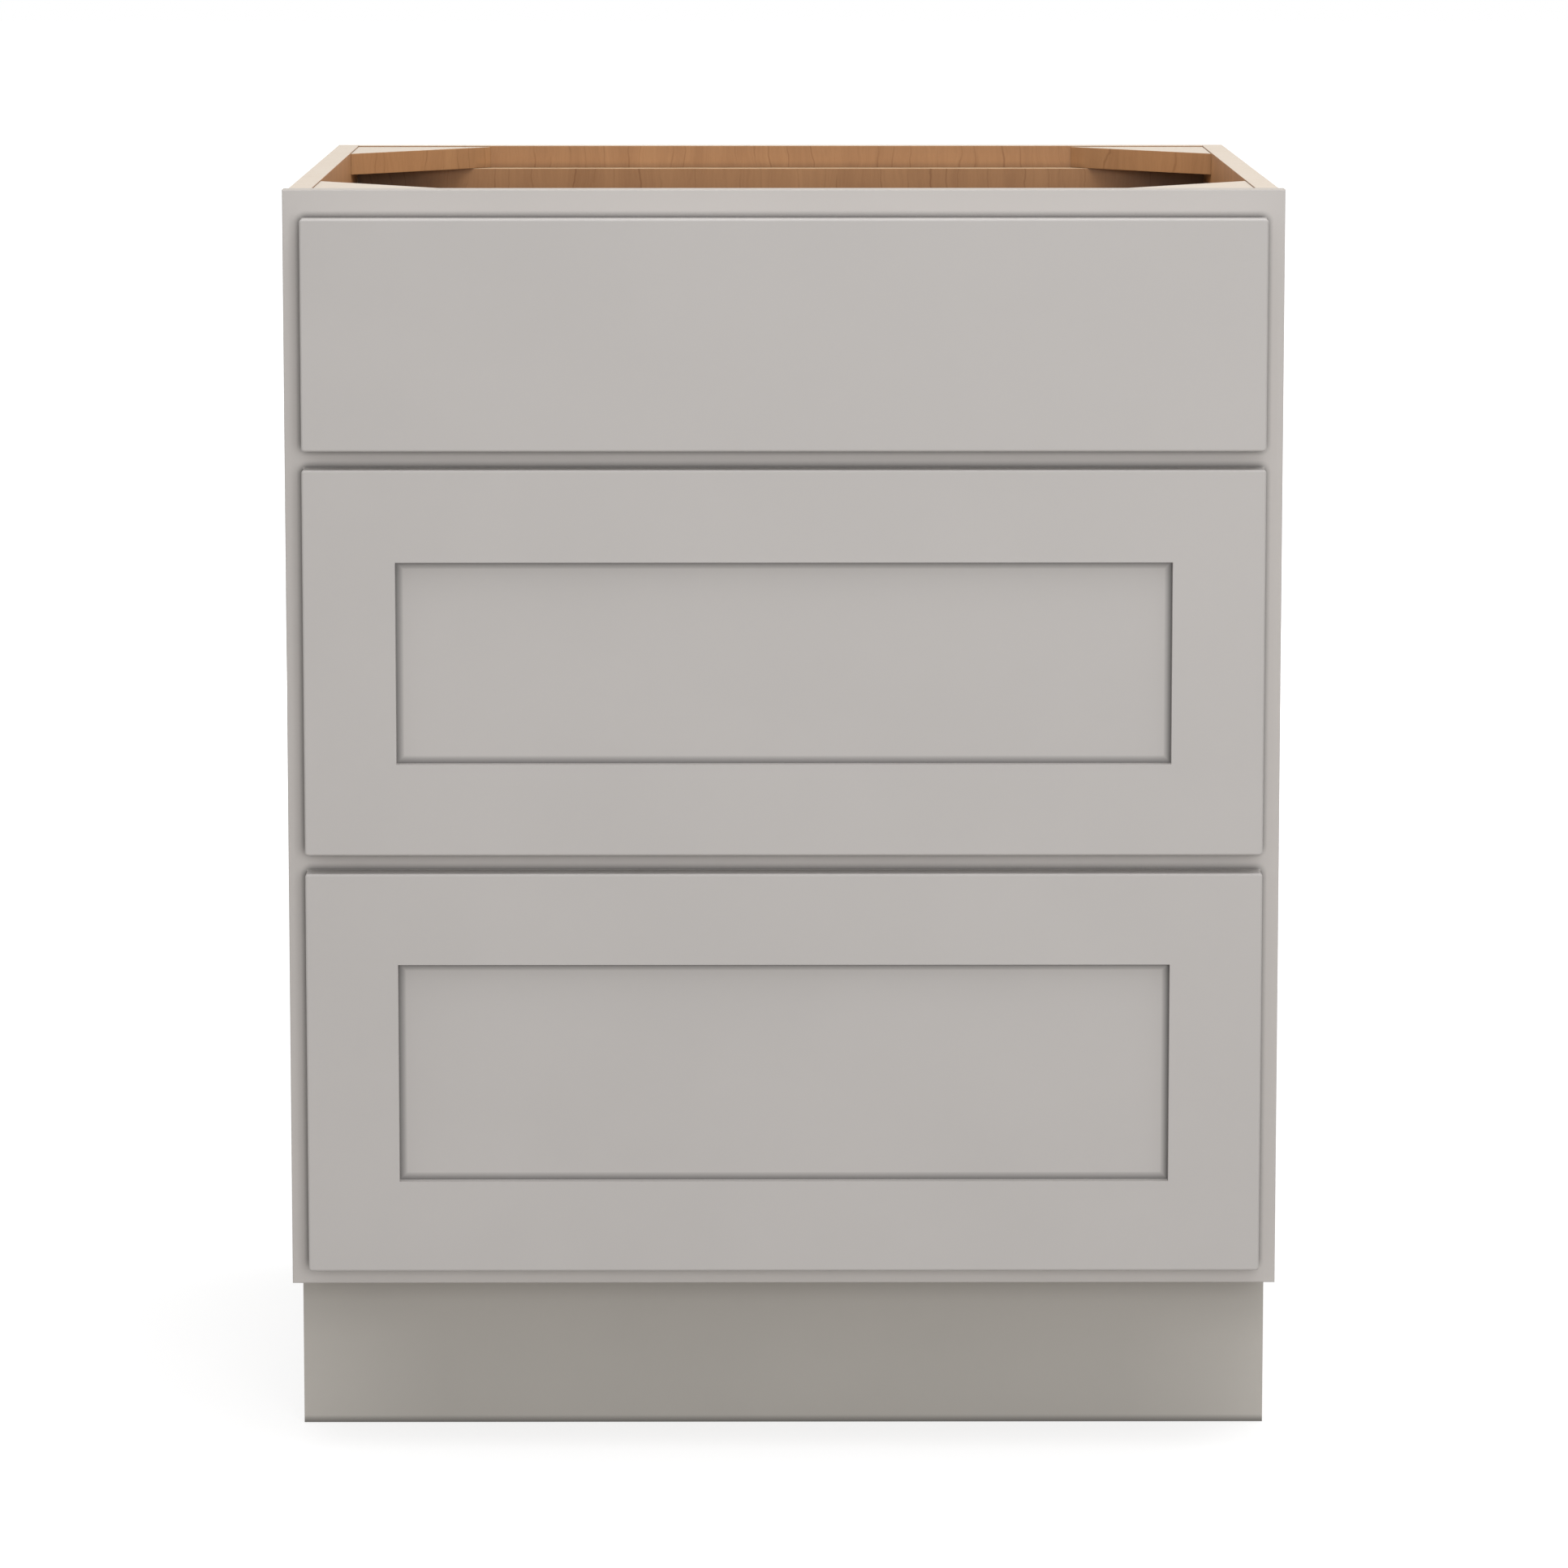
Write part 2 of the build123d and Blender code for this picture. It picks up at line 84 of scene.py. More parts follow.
class CabinetFinishes(bpy.types.PropertyGroup):
    """Colours of the cabinet's finishes, some with painted light and shade in them"""

    paint: colour("Front paint", "Satin paint on the drawer fronts and the outside", (0.486, 0.463, 0.448))
    # Lighter than the fronts' paint: painted light on the face frame
    frame_paint_with_painted_light: colour("Frame paint", "Satin paint on the face frame", (0.520, 0.491, 0.470))
    # Multiplies the paint on the frame's top faces: painted shade that dims them, with a warm tint
    frame_top_shade: colour("Frame edge", "Share of the paint that shows on the top edge", (0.80, 0.76, 0.70))
    toe_paint: colour("Toe paint", "Satin paint on the toe board", (0.490, 0.463, 0.426))
    veneer_light: colour("Veneer, light", "Pale wood of the veneer inside the cabinet", (0.515, 0.285, 0.136))
    veneer_dark: colour("Veneer, dark", "Dark grain of the veneer inside the cabinet", (0.285, 0.135, 0.057))
    edge_light: colour("Board edge, light", "Wood on the edges of the carcass boards", (0.585, 0.50, 0.405))
    edge_dark: colour("Board edge, dark", "Grain on the edges of the carcass boards", (0.50, 0.405, 0.31))
    raw_light: colour("Raw board, light", "Pale wood on the unfinished rear faces", (0.60, 0.45, 0.29))
    raw_dark: colour("Raw board, dark", "Grain on the unfinished rear faces", (0.43, 0.29, 0.165))
    maple_light: colour("Maple, light", "Pale wood of the drawer boxes", (0.68, 0.50, 0.31))
    maple_dark: colour("Maple, dark", "Grain of the drawer boxes", (0.52, 0.345, 0.19))
    maple_end: colour("Maple, end grain", "Sawn ends of the drawer boards", (0.42, 0.265, 0.14))
    steel: colour("Steel", "Zinc plate on the slides", (0.56, 0.57, 0.58))
    nylon: colour("Nylon", "Moulded release levers", (0.22, 0.23, 0.24))
    bumper: colour("Bumper", "Soft pads behind the fronts", (0.72, 0.72, 0.70))


class CabinetDetails(bpy.types.PropertyGroup):
    """Sizes of the small fittings"""

    board_ease: length("Board ease", "Width of the eased edges of the bare boards", 0.0004)
    crevice: length("Crevice", "Width of the soft shade in inner corners", 0.0052)
    deep_shade: length("Deep shade", "Height of the shade that gathers under the braces", 0.09)
    screw_radius: length("Screw head", "Radius of a screw head", 0.0042)
    screw_height: length("Screw head height", "Height of a screw head", 0.0018)
    staple_crown: length("Staple crown", "Length of a staple's crown", 0.011)
    staple_wire: length("Staple wire", "Width of a staple's wire", 0.0013)
    rib_height: length("Rib height", "Height of the grip ribs on a release lever", 0.0007)


class CabinetStage(bpy.types.PropertyGroup):
    """Camera, lamps and floor"""

    camera_place: position("Camera place", "Where the camera stands", (-0.0198, -5.0785, 1.1467))
    camera_pitch: angle("Camera pitch", "How far the camera looks down", math.radians(8.0962))
    camera_yaw: angle("Camera yaw", "How far the camera turns to its left", math.radians(-0.2387))
    camera_lens: lens("Camera lens", "Focal length on a 36 mm sensor", 160.462)
    front_power: power("Front lamp", "Power of the wide lamp in front", 75.5)
    high_power: power("High lamp", "Power of the lamp in front and above", 12.0)
    top_power: power("Top lamp", "Power of the wide lamp overhead", 66.0)
    rear_power: power("Rear lamp", "Power of the lamp behind", 45.0)
    fill: share("Fill", "Light from all round", 0.55)
    floor: colour("Floor", "The floor as the cabinet sees it", (0.40, 0.385, 0.365))
    floor_glow: share("Floor glow", "White added to the floor near the cabinet, as the camera sees it", 0.72)


# Short ways to build node trees
def add_node(tree, kind, sockets=None, **settings):
    """One node, with its settings and with each named socket linked or set."""
    made = tree.nodes.new(kind)
    for key, value in settings.items():
        setattr(made, key, value)
    for key, value in (sockets or {}).items():
        join(tree, value, made.inputs[key])
    return made


def join(tree, value, socket):
    """Link a socket to another one, or set its own value."""
    if isinstance(value, bpy.types.NodeSocket):
        tree.links.new(value, socket)
    elif hasattr(socket.default_value, "__len__") and len(socket.default_value) == 4 and len(value) == 3:
        socket.default_value = (*value, 1.0)
    else:
        socket.default_value = value


def calc(tree, operation, *values, clamp=False):
    """The result of a Math node."""
    sockets = dict(enumerate(values))
    return add_node(tree, "ShaderNodeMath", sockets, operation=operation, use_clamp=clamp).outputs[0]


def vector_calc(tree, operation, *values):
    """The vector result of a Vector Math node."""
    return add_node(tree, "ShaderNodeVectorMath", dict(enumerate(values)), operation=operation).outputs[0]


def blend(tree, factor, first, second, way="MIX"):
    """The colour result of a Mix node. A single value stands for a grey."""
    sockets = {0: factor, 6: first, 7: second}
    return add_node(tree, "ShaderNodeMix", sockets, data_type="RGBA", blend_type=way).outputs[2]


def ramp(tree, value, low, high, to_low=0.0, to_high=1.0, smooth=True):
    """A value brought from one range to another and held there."""
    made = add_node(
        tree, "ShaderNodeMapRange",
        {"Value": value, "From Min": low, "From Max": high, "To Min": to_low, "To Max": to_high},
        interpolation_type="SMOOTHSTEP" if smooth else "LINEAR", clamp=True,
    )
    return made.outputs[0]


def noise(tree, place, scale, detail=2.0, roughness=0.5):
    """The value of a Noise Texture."""
    sockets = {"Vector": place, "Scale": scale, "Detail": detail, "Roughness": roughness}
    return add_node(tree, "ShaderNodeTexNoise", sockets).outputs[0]


def split(tree, vector):
    """The three parts of a vector."""
    return add_node(tree, "ShaderNodeSeparateXYZ", {"Vector": vector}).outputs


def mix_shaders(tree, factor, first, second):
    """A Mix Shader node between two shader nodes."""
    return add_node(tree, "ShaderNodeMixShader", {0: factor, 1: first.outputs[0], 2: second.outputs[0]})


KINDS = {"value": "NodeSocketFloat", "vector": "NodeSocketVector", "colour": "NodeSocketColor"}


def new_group(name, inputs, outputs):
    """An empty node group with named sockets. Returns it, its entry's sockets and its exit's sockets."""
    group = bpy.data.node_groups.new(name, "ShaderNodeTree")
    for label, kind in inputs.items():
        group.interface.new_socket(name=label, in_out="INPUT", socket_type=KINDS[kind])
    for label, kind in outputs.items():
        group.interface.new_socket(name=label, in_out="OUTPUT", socket_type=KINDS[kind])
    entry = group.nodes.new("NodeGroupInput").outputs
    leave = group.nodes.new("NodeGroupOutput").inputs
    return group, entry, leave


def use_group(tree, name, build, **sockets):
    """Place the node group of this name, built when first asked for, and return its outputs."""
    made = tree.nodes.new("ShaderNodeGroup")
    made.node_tree = bpy.data.node_groups.get(name) or build(name)
    for key, value in sockets.items():
        join(tree, value, made.inputs[key])
    return made.outputs


# Shared effects
def build_grain(name):
    """Wood grain that runs along the third axis of the place it is given, with thin dark veins.

    Spread sets how closely the lines lie, Figure how strong they are and Veins how dark the veins are.
    """
    # Lines to the metre in the broad figure and in the fibres, and lanes to the metre with a vein in each
    broad_scale, fibre_scale, lane_scale = 52.0, 520.0, 64.0
    # How far the lines sway, in metres, and how much they shrink along the grain
    sway, drawn_share = 0.012, 0.04
    # Waves to the metre in the sway, and breaks to the metre along a vein
    sway_scale, break_scale = 26.0, 14.0
    # Weights of the broad figure and the fibres, and the tone that they vary
    broad_weight, fibre_weight, mean_tone = 1.15, 0.62, 0.62
    group, entry, leave = new_group(
        name,
        {
            "Place": "vector", "Spread": "value", "Figure": "value", "Veins": "value",
            "Light": "colour", "Dark": "colour",
        },
        {"Color": "colour", "Height": "value"},
    )
    place, spread = entry["Place"], entry["Spread"]
    waves = add_node(group, "ShaderNodeTexNoise", {"Vector": place, "Scale": sway_scale, "Detail": 3.0})
    drift = vector_calc(group, "SUBTRACT", waves.outputs[1], (0.5, 0.5, 0.5))
    wavy = vector_calc(group, "ADD", place, vector_calc(group, "MULTIPLY", drift, (sway, sway, 0.0)))
    drawn_out = vector_calc(group, "MULTIPLY", wavy, (1.0, 1.0, drawn_share))
    broad = noise(group, drawn_out, calc(group, "MULTIPLY", spread, broad_scale), 2.0, 0.55)
    fibre = noise(group, drawn_out, calc(group, "MULTIPLY", spread, fibre_scale), 3.0, 0.65)
    parts = split(group, wavy)
    across = calc(group, "MULTIPLY_ADD", parts[1], 0.62, parts[0])
    lane = calc(group, "MULTIPLY", across, calc(group, "MULTIPLY", spread, lane_scale))
    number = calc(group, "FLOOR", lane)
    chance = add_node(group, "ShaderNodeTexWhiteNoise", {"W": number}, noise_dimensions="1D").outputs[0]
    vein_place = calc(group, "MULTIPLY_ADD", chance, 0.7, 0.15)
    off_vein = calc(group, "ABSOLUTE", calc(group, "SUBTRACT", calc(group, "FRACT", lane), vein_place))
    vein = ramp(group, off_vein, 0.0, calc(group, "MULTIPLY_ADD", chance, 0.05, 0.03), 1.0, 0.0)
    own_row = calc(group, "MULTIPLY", number, 3.7)
    along = add_node(group, "ShaderNodeCombineXYZ", {"X": own_row, "Z": parts[2]}).outputs[0]
    vein = calc(group, "MULTIPLY", vein, ramp(group, noise(group, along, break_scale, 1.0), 0.36, 0.62))
    vein = calc(group, "MULTIPLY", vein, entry["Veins"])
    tone = calc(group, "MULTIPLY", calc(group, "SUBTRACT", broad, 0.5), broad_weight)
    tone = calc(group, "MULTIPLY_ADD", calc(group, "SUBTRACT", fibre, 0.5), fibre_weight, tone)
    tone = calc(group, "MULTIPLY_ADD", tone, entry["Figure"], mean_tone)
    tone = calc(group, "SUBTRACT", tone, vein, clamp=True)
    join(group, blend(group, tone, entry["Dark"], entry["Light"]), leave["Color"])
    join(group, calc(group, "SUBTRACT", fibre, vein), leave["Height"])
    return group


def build_film(name):
    """The faint ripple and uneven sheen of a sprayed film. Spread sets how much the sheen varies."""
    # Waves to the metre in the ripple, the specks and the clouds, and how high the specks stand
    ripple_scale, speck_scale, cloud_scale, speck_height = 520.0, 2400.0, 7.0, 0.25
    group, entry, leave = new_group(
        name,
        {"Place": "vector", "Sheen": "value", "Spread": "value"},
        {"Height": "value", "Roughness": "value", "Cloud": "value"},
    )
    ripple = noise(group, entry["Place"], ripple_scale, 2.0, 0.5)
    speck = noise(group, entry["Place"], speck_scale, 1.0, 0.5)
    cloud = noise(group, entry["Place"], cloud_scale, 3.0, 0.55)
    height = calc(group, "MULTIPLY_ADD", speck, speck_height, ripple)
    uneven = calc(group, "MULTIPLY", calc(group, "SUBTRACT", ripple, 0.5), entry["Spread"])
    uneven = calc(group, "MULTIPLY_ADD", calc(group, "SUBTRACT", cloud, 0.5), entry["Spread"], uneven)
    join(group, height, leave["Height"])
    join(group, calc(group, "ADD", entry["Sheen"], uneven, clamp=True), leave["Roughness"])
    join(group, cloud, leave["Cloud"])
    return group


def build_faces(name):
    """Which way a board's face looks: one mask for each side of the board."""
    labels = ("Right", "Left", "Rear", "Front", "Top", "Under")
    # The least cosine at which a face counts as looking one way
    least_cosine = 0.7
    group, entry, leave = new_group(name, {"Facing": "vector"}, {label: "value" for label in labels})
    parts = split(group, entry["Facing"])
    for index, label in enumerate(labels):
        along = parts[index // 2]
        if index % 2:
            along = calc(group, "MULTIPLY", along, -1.0)
        join(group, calc(group, "GREATER_THAN", along, least_cosine), leave[label])
    return group


def build_crevice(name):
    """How near a point of a recessed panel lies to the members round it, from 1 at their edge to 0."""
    steepness = 0.8
    group, entry, leave = new_group(
        name, {"Place": "vector", "Low": "vector", "High": "vector", "Reach": "value"}, {"Mask": "value"}
    )
    from_low = vector_calc(group, "SUBTRACT", entry["Place"], entry["Low"])
    from_high = vector_calc(group, "SUBTRACT", entry["High"], entry["Place"])
    parts = split(group, vector_calc(group, "MINIMUM", from_low, from_high))
    near = calc(group, "MINIMUM", parts[0], parts[2])
    left_over = ramp(group, near, 0.0, entry["Reach"], 1.0, 0.0, smooth=False)
    join(group, calc(group, "POWER", left_over, steepness), leave["Mask"])
    return group


def build_outline(name):
    """1 on the parts of the face frame that stay in sight round the closed drawer fronts."""
    group, entry, leave = new_group(name, {"Place": "vector"}, {"Mask": "value"})
    parts = split(group, entry["Place"])
    beside = calc(group, "GREATER_THAN", calc(group, "ABSOLUTE", parts[0]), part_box("top_front_slab")[1].x)
    behind = 0.0
    for node in ("top_front_slab", "middle_front_stile_left", "bottom_front_stile_left"):
        low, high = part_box(node)
        covered = calc(group, "COMPARE", parts[2], (low.z + high.z) / 2, (high.z - low.z) / 2)
        behind = calc(group, "ADD", covered, behind)
    join(group, calc(group, "MAXIMUM", beside, calc(group, "SUBTRACT", 1.0, behind)), leave["Mask"])
    return group


def build_under_braces(name):
    """How well a corner brace covers a point: 1 close under its corner, 0 in the open."""
    # The share of a brace's leg that it covers in full
    full_share = 0.4
    group, entry, leave = new_group(name, {"Place": "vector", "Reach": "value"}, {"Mask": "value"})
    low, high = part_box("corner_braces")
    leg = high.x - inner_edge("corner_braces")
    half, middle = (high.y - low.y) / 2, (high.y + low.y) / 2
    parts = split(group, entry["Place"])
    from_middle = calc(group, "ABSOLUTE", calc(group, "SUBTRACT", parts[1], middle))
    from_end = calc(group, "SUBTRACT", half, from_middle)
    from_side = calc(group, "SUBTRACT", high.x, calc(group, "ABSOLUTE", parts[0]))
    covered = ramp(group, calc(group, "ADD", from_side, from_end), full_share * leg, leg, 1.0, 0.0)
    depth = calc(group, "SUBTRACT", low.z, parts[2])
    below = calc(group, "GREATER_THAN", depth, 0.0)
    close = calc(group, "MULTIPLY", below, ramp(group, depth, 0.0, entry["Reach"], 1.0, 0.0))
    join(group, calc(group, "MULTIPLY", covered, close), leave["Mask"])
    return group


def build_brushed(name):
    """Fine drawn lines along Y and a soft cloud, as on plated strip."""
    # Lines and clouds to the metre, and how much the lines shrink along Y
    line_scale, cloud_scale, drawn_share = 1900.0, 38.0, 0.02
    # Shares of the colour that the darkest and the lightest places show
    darkest, lightest = 0.78, 1.08
    group, entry, leave = new_group(
        name,
        {"Place": "vector", "Color": "colour", "Sheen": "value"},
        {"Color": "colour", "Roughness": "value", "Height": "value"},
    )
    drawn_out = vector_calc(group, "MULTIPLY", entry["Place"], (1.0, drawn_share, 1.0))
    lines = noise(group, drawn_out, line_scale, 3.0, 0.6)
    cloud = noise(group, entry["Place"], cloud_scale, 4.0, 0.6)
    uneven = calc(group, "MULTIPLY_ADD", lines, 0.4, calc(group, "MULTIPLY", cloud, 0.6))
    tone = ramp(group, uneven, 0.3, 0.7, darkest, lightest)
    sheen = calc(group, "MULTIPLY_ADD", calc(group, "SUBTRACT", cloud, 0.5), 0.2, entry["Sheen"], clamp=True)
    join(group, blend(group, 1.0, entry["Color"], tone, "MULTIPLY"), leave["Color"])
    join(group, sheen, leave["Roughness"])
    join(group, lines, leave["Height"])
    return group


# How dark the shade gets along a panel's edge and in the boards' inner corners
PANEL_SHADE = 0.70
CORNER_SHADE = 0.45
# How much of the wood's own relief shows through a clear coat
WOOD_RELIEF = 0.6


# Materials
def new_material(name):
    """A material, its tree and the coordinates of the point that it shades."""
    material = bpy.data.materials.new(name)
    material.use_nodes = True
    tree = material.node_tree
    return material, tree, tree.nodes.new("ShaderNodeTexCoord").outputs


def dress(tree, tint, roughness, height, strength, depth, specular=0.5, metallic=0.0):
    """Feed a material's shader its colour, roughness, gloss and bump."""
    relief = add_node(tree, "ShaderNodeBump", {"Strength": strength, "Distance": depth, "Height": height})
    sockets = {
        "Base Color": tint, "Roughness": roughness, "Normal": relief.outputs[0],
        "Specular IOR Level": specular, "Metallic": metallic,
    }
    for key, value in sockets.items():
        join(tree, value, tree.nodes["Principled BSDF"].inputs[key])


def along_grain(tree, place, axis):
    """A board's place turned so that its third axis runs along the grain, and shifted for each board."""
    furthest_shift = 23.0
    parts = split(tree, place)
    order = {"X": (1, 2, 0), "Y": (0, 2, 1), "Z": (0, 1, 2)}[axis]
    turned = add_node(tree, "ShaderNodeCombineXYZ")
    for socket, index in zip(turned.inputs, order):
        tree.links.new(parts[index], socket)
    chance = tree.nodes.new("ShaderNodeObjectInfo").outputs["Random"]
    own = calc(tree, "MULTIPLY", chance, furthest_shift)
    return vector_calc(tree, "ADD", turned.outputs[0], own)


def corner_shade(tree, reach):
    """The soft shade of inner corners: 1 in the open, less where another face stands within reach."""
    steepness = 1.7
    near = add_node(tree, "ShaderNodeAmbientOcclusion", {"Distance": reach}, samples=6)
    return calc(tree, "POWER", near.outputs["AO"], steepness)


def paint_coat(tree, place, tint):
    """Colour, roughness and height of a satin paint."""
    film = use_group(tree, "sprayed film", build_film, Place=place, Sheen=0.46, Spread=0.10)
    tone = ramp(tree, film["Cloud"], 0.3, 0.7, 0.985, 1.015)
    return blend(tree, 1.0, tuple(tint), tone, "MULTIPLY"), film["Roughness"], film["Height"]


def painted_material(name, tint, axis):
    """Satin paint over wood whose grain shows through faintly."""
    # Grain lines to the metre under the paint, how much they shrink along the grain, and how high they stand
    grain_scale, drawn_share, grain_height = 420.0, 0.03, 0.5
    material, tree, where = new_material(name)
    coat, roughness, height = paint_coat(tree, where["Object"], tint)
    along = along_grain(tree, where["Object"], axis)
    drawn_out = vector_calc(tree, "MULTIPLY", along, (1.0, 1.0, drawn_share))
    grain = noise(tree, drawn_out, grain_scale, 2.0, 0.6)
    height = calc(tree, "MULTIPLY_ADD", grain, grain_height, height)
    dress(tree, coat, roughness, height, strength=0.08, depth=0.00012, specular=0.32)
    return material


def shade_paint(material, shade, factor=1.0):
    """Multiply a material's colour by a shade or a colour, as far as the factor says."""
    tree = material.node_tree
    socket = tree.nodes["Principled BSDF"].inputs["Base Color"]
    join(tree, blend(tree, factor, socket.links[0].from_socket, shade, "MULTIPLY"), socket)


def panel_material(name, axis, recess):
    """Satin paint on a sunk panel, shaded by the members round it. recess is the box that they leave."""
    scene = bpy.context.scene
    material = painted_material(name, scene.cabinet_finishes.paint, axis)
    tree = material.node_tree
    mask = use_group(
        tree, "panel crevice", build_crevice, Place=tree.nodes["Texture Coordinate"].outputs["Object"],
        Low=recess[0], High=recess[1], Reach=scene.cabinet_details.crevice,
    )["Mask"]
    shade_paint(material, calc(tree, "MULTIPLY_ADD", mask, -PANEL_SHADE, 1.0))
    return material


def frame_material(name, axis):
    """Satin paint on the face frame, lighter than the fronts' paint as painted light, with painted shade
    close to the closed fronts and painted shade with a warm tint on its top edge.
    """
    scene = bpy.context.scene
    material = painted_material(name, scene.cabinet_finishes.frame_paint_with_painted_light, axis)
    tree = material.node_tree
    where = tree.nodes["Texture Coordinate"].outputs
    faces = use_group(tree, "board faces", build_faces, Facing=where["Normal"])
    in_sight = use_group(tree, "front outline", build_outline, Place=where["Object"])["Mask"]
    mask = calc(tree, "MULTIPLY", in_sight, faces["Front"])
    dark = calc(tree, "SUBTRACT", 1.0, corner_shade(tree, scene.cabinet_details.crevice))
    shade_paint(material, calc(tree, "SUBTRACT", 1.0, calc(tree, "MULTIPLY", mask, dark)))
    # Painted shade with a warm tint on the frame's top faces
    shade_paint(material, tuple(scene.cabinet_finishes.frame_top_shade), faces["Top"])
    return material


def wood_colour(tree, place, axis, light, dark, spread, figure, veins):
    """The outputs of the grain group for one finish of a board."""
    return use_group(
        tree, "wood grain", build_grain, Place=along_grain(tree, place, axis),
        Spread=spread, Figure=figure, Veins=veins, Light=tuple(light), Dark=tuple(dark),
    )


def board_material(name, axis, painted=(), raw=(), edges=(), bright=(), deep=0.0, depth=1.0, paint=None):
    """A veneered carcass board. painted, raw and edges name the faces that show paint, bare board or an edge.

    bright names faces without corner shade, deep is how strongly shade gathers under the braces,
    depth darkens the veneer as painted shade, and paint is the painted faces' colour.
    """
    finishes = bpy.context.scene.cabinet_finishes
    details = bpy.context.scene.cabinet_details
    material, tree, where = new_material(name)
    place = where["Object"]
    faces = use_group(tree, "board faces", build_faces, Facing=where["Normal"])
    light, dark = [[part * depth for part in tint] for tint in (finishes.veneer_light, finishes.veneer_dark)]
    veneer = wood_colour(tree, place, axis, light, dark, spread=1.0, figure=0.7, veins=0.42)
    tint = veneer["Color"]
    film = use_group(tree, "sprayed film", build_film, Place=place, Sheen=0.42, Spread=0.12)
    covers = []
    if edges:
        bare = wood_colour(
            tree, place, axis, finishes.edge_light, finishes.edge_dark, spread=1.6, figure=0.6, veins=0.1
        )
        covers.append((edges, bare["Color"]))
    if raw:
        rough_wood = wood_colour(
            tree, place, axis, finishes.raw_light, finishes.raw_dark, spread=0.8, figure=1.0, veins=0.3
        )
        covers.append((raw, rough_wood["Color"]))
    if painted:
        covers.append((painted, paint_coat(tree, place, paint or finishes.paint)[0]))
    for labels, cover in covers:
        for label in labels:
            tint = blend(tree, faces[label], tint, cover)
    open_share = corner_shade(tree, details.crevice)
    shade = calc(tree, "MULTIPLY_ADD", open_share, CORNER_SHADE, 1.0 - CORNER_SHADE)
    if deep:
        reach = details.deep_shade
        under = use_group(tree, "under braces", build_under_braces, Place=place, Reach=reach)["Mask"]
        shade = calc(tree, "MULTIPLY", shade, calc(tree, "MULTIPLY_ADD", under, -deep, 1.0))
    for label in bright:
        shade = calc(tree, "MAXIMUM", shade, faces[label])
    tint = blend(tree, 1.0, tint, shade, "MULTIPLY")
    height = calc(tree, "MULTIPLY_ADD", veneer["Height"], WOOD_RELIEF, film["Height"])
    dress(tree, tint, film["Roughness"], height, strength=0.15, depth=0.00012, specular=0.3)
    return material


def maple_material(name, axis):
    """Clear-coated maple, darker on its end grain."""
    # How far the end grain's colour covers the wood's, and how much rougher it is
    end_cover, end_roughness = 0.7, 0.15
    finishes = bpy.context.scene.cabinet_finishes
    material, tree, where = new_material(name)
    place = where["Object"]
    faces = use_group(tree, "board faces", build_faces, Facing=where["Normal"])
    wood = wood_colour(
        tree, place, axis, finishes.maple_light, finishes.maple_dark, spread=0.8, figure=0.8, veins=0.18
    )
    ends = {"X": ("Left", "Right"), "Y": ("Front", "Rear"), "Z": ("Top", "Under")}[axis]
    end_mask = calc(tree, "ADD", faces[ends[0]], faces[ends[1]], clamp=True)
    film = use_group(tree, "sprayed film", build_film, Place=place, Sheen=0.34, Spread=0.10)
    cover = calc(tree, "MULTIPLY", end_mask, end_cover)
    tint = blend(tree, cover, wood["Color"], tuple(finishes.maple_end))
    roughness = calc(tree, "MULTIPLY_ADD", end_mask, end_roughness, film["Roughness"])
    height = calc(tree, "MULTIPLY_ADD", wood["Height"], WOOD_RELIEF, film["Height"])
    dress(tree, tint, roughness, height, strength=0.15, depth=0.00012, specular=0.35)
    return material


def steel_material(name, tint, sheen):
    """Zinc-plated strip steel with faint drawn lines."""
    material, tree, where = new_material(name)
    plate = use_group(
        tree, "drawn plate", build_brushed, Place=where["Object"], Color=tuple(tint), Sheen=sheen
    )
    dress(
        tree, plate["Color"], plate["Roughness"], plate["Height"], strength=0.10, depth=0.00008, metallic=1.0
    )
    return material


def moulded_material(name, tint, sheen):
    """Moulded plastic with a fine spark-eroded texture."""
    material, tree, where = new_material(name)
    film = use_group(tree, "sprayed film", build_film, Place=where["Object"], Sheen=sheen, Spread=0.16)
    tone = ramp(tree, film["Cloud"], 0.3, 0.7, 0.93, 1.07)
    tint = blend(tree, 1.0, tuple(tint), tone, "MULTIPLY")
    dress(tree, tint, film["Roughness"], film["Height"], strength=0.25, depth=0.00015)
    return material


def finish_nodes(names, material, ease=0.0):
    """Give CAD nodes their material and, for bare boards, eased edges."""
    for name in names:
        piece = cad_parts[name]
        piece.data.materials.clear()
        piece.data.materials.append(material)
        if ease:
            ease_edges(piece, ease)


def ease_edges(piece, width):
    """Round a piece's sharp edges a little, with modifiers alone."""
    weld = piece.modifiers.new("Close seams", "WELD")
    weld.merge_threshold = 0.00001
    flat = piece.modifiers.new("Flat faces", "DECIMATE")
    flat.decimate_type = "DISSOLVE"
    flat.angle_limit = math.radians(0.5)
    ease = piece.modifiers.new("Eased edges", "BEVEL")
    ease.width = width
    ease.segments = 2
    ease.limit_method = "ANGLE"
    ease.angle_limit = math.radians(40)


# Meshes for the small fittings
def new_piece(name, shape, material, body):
    """An object from a bmesh, riding on a CAD body."""
    mesh = bpy.data.meshes.new(name)
    bmesh.ops.recalc_face_normals(shape, faces=shape.faces)
    shape.to_mesh(mesh)
    shape.free()
    mesh.materials.append(material)
    piece = bpy.data.objects.new(name, mesh)
    bpy.context.scene.collection.objects.link(piece)
    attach(piece, body)
    return piece


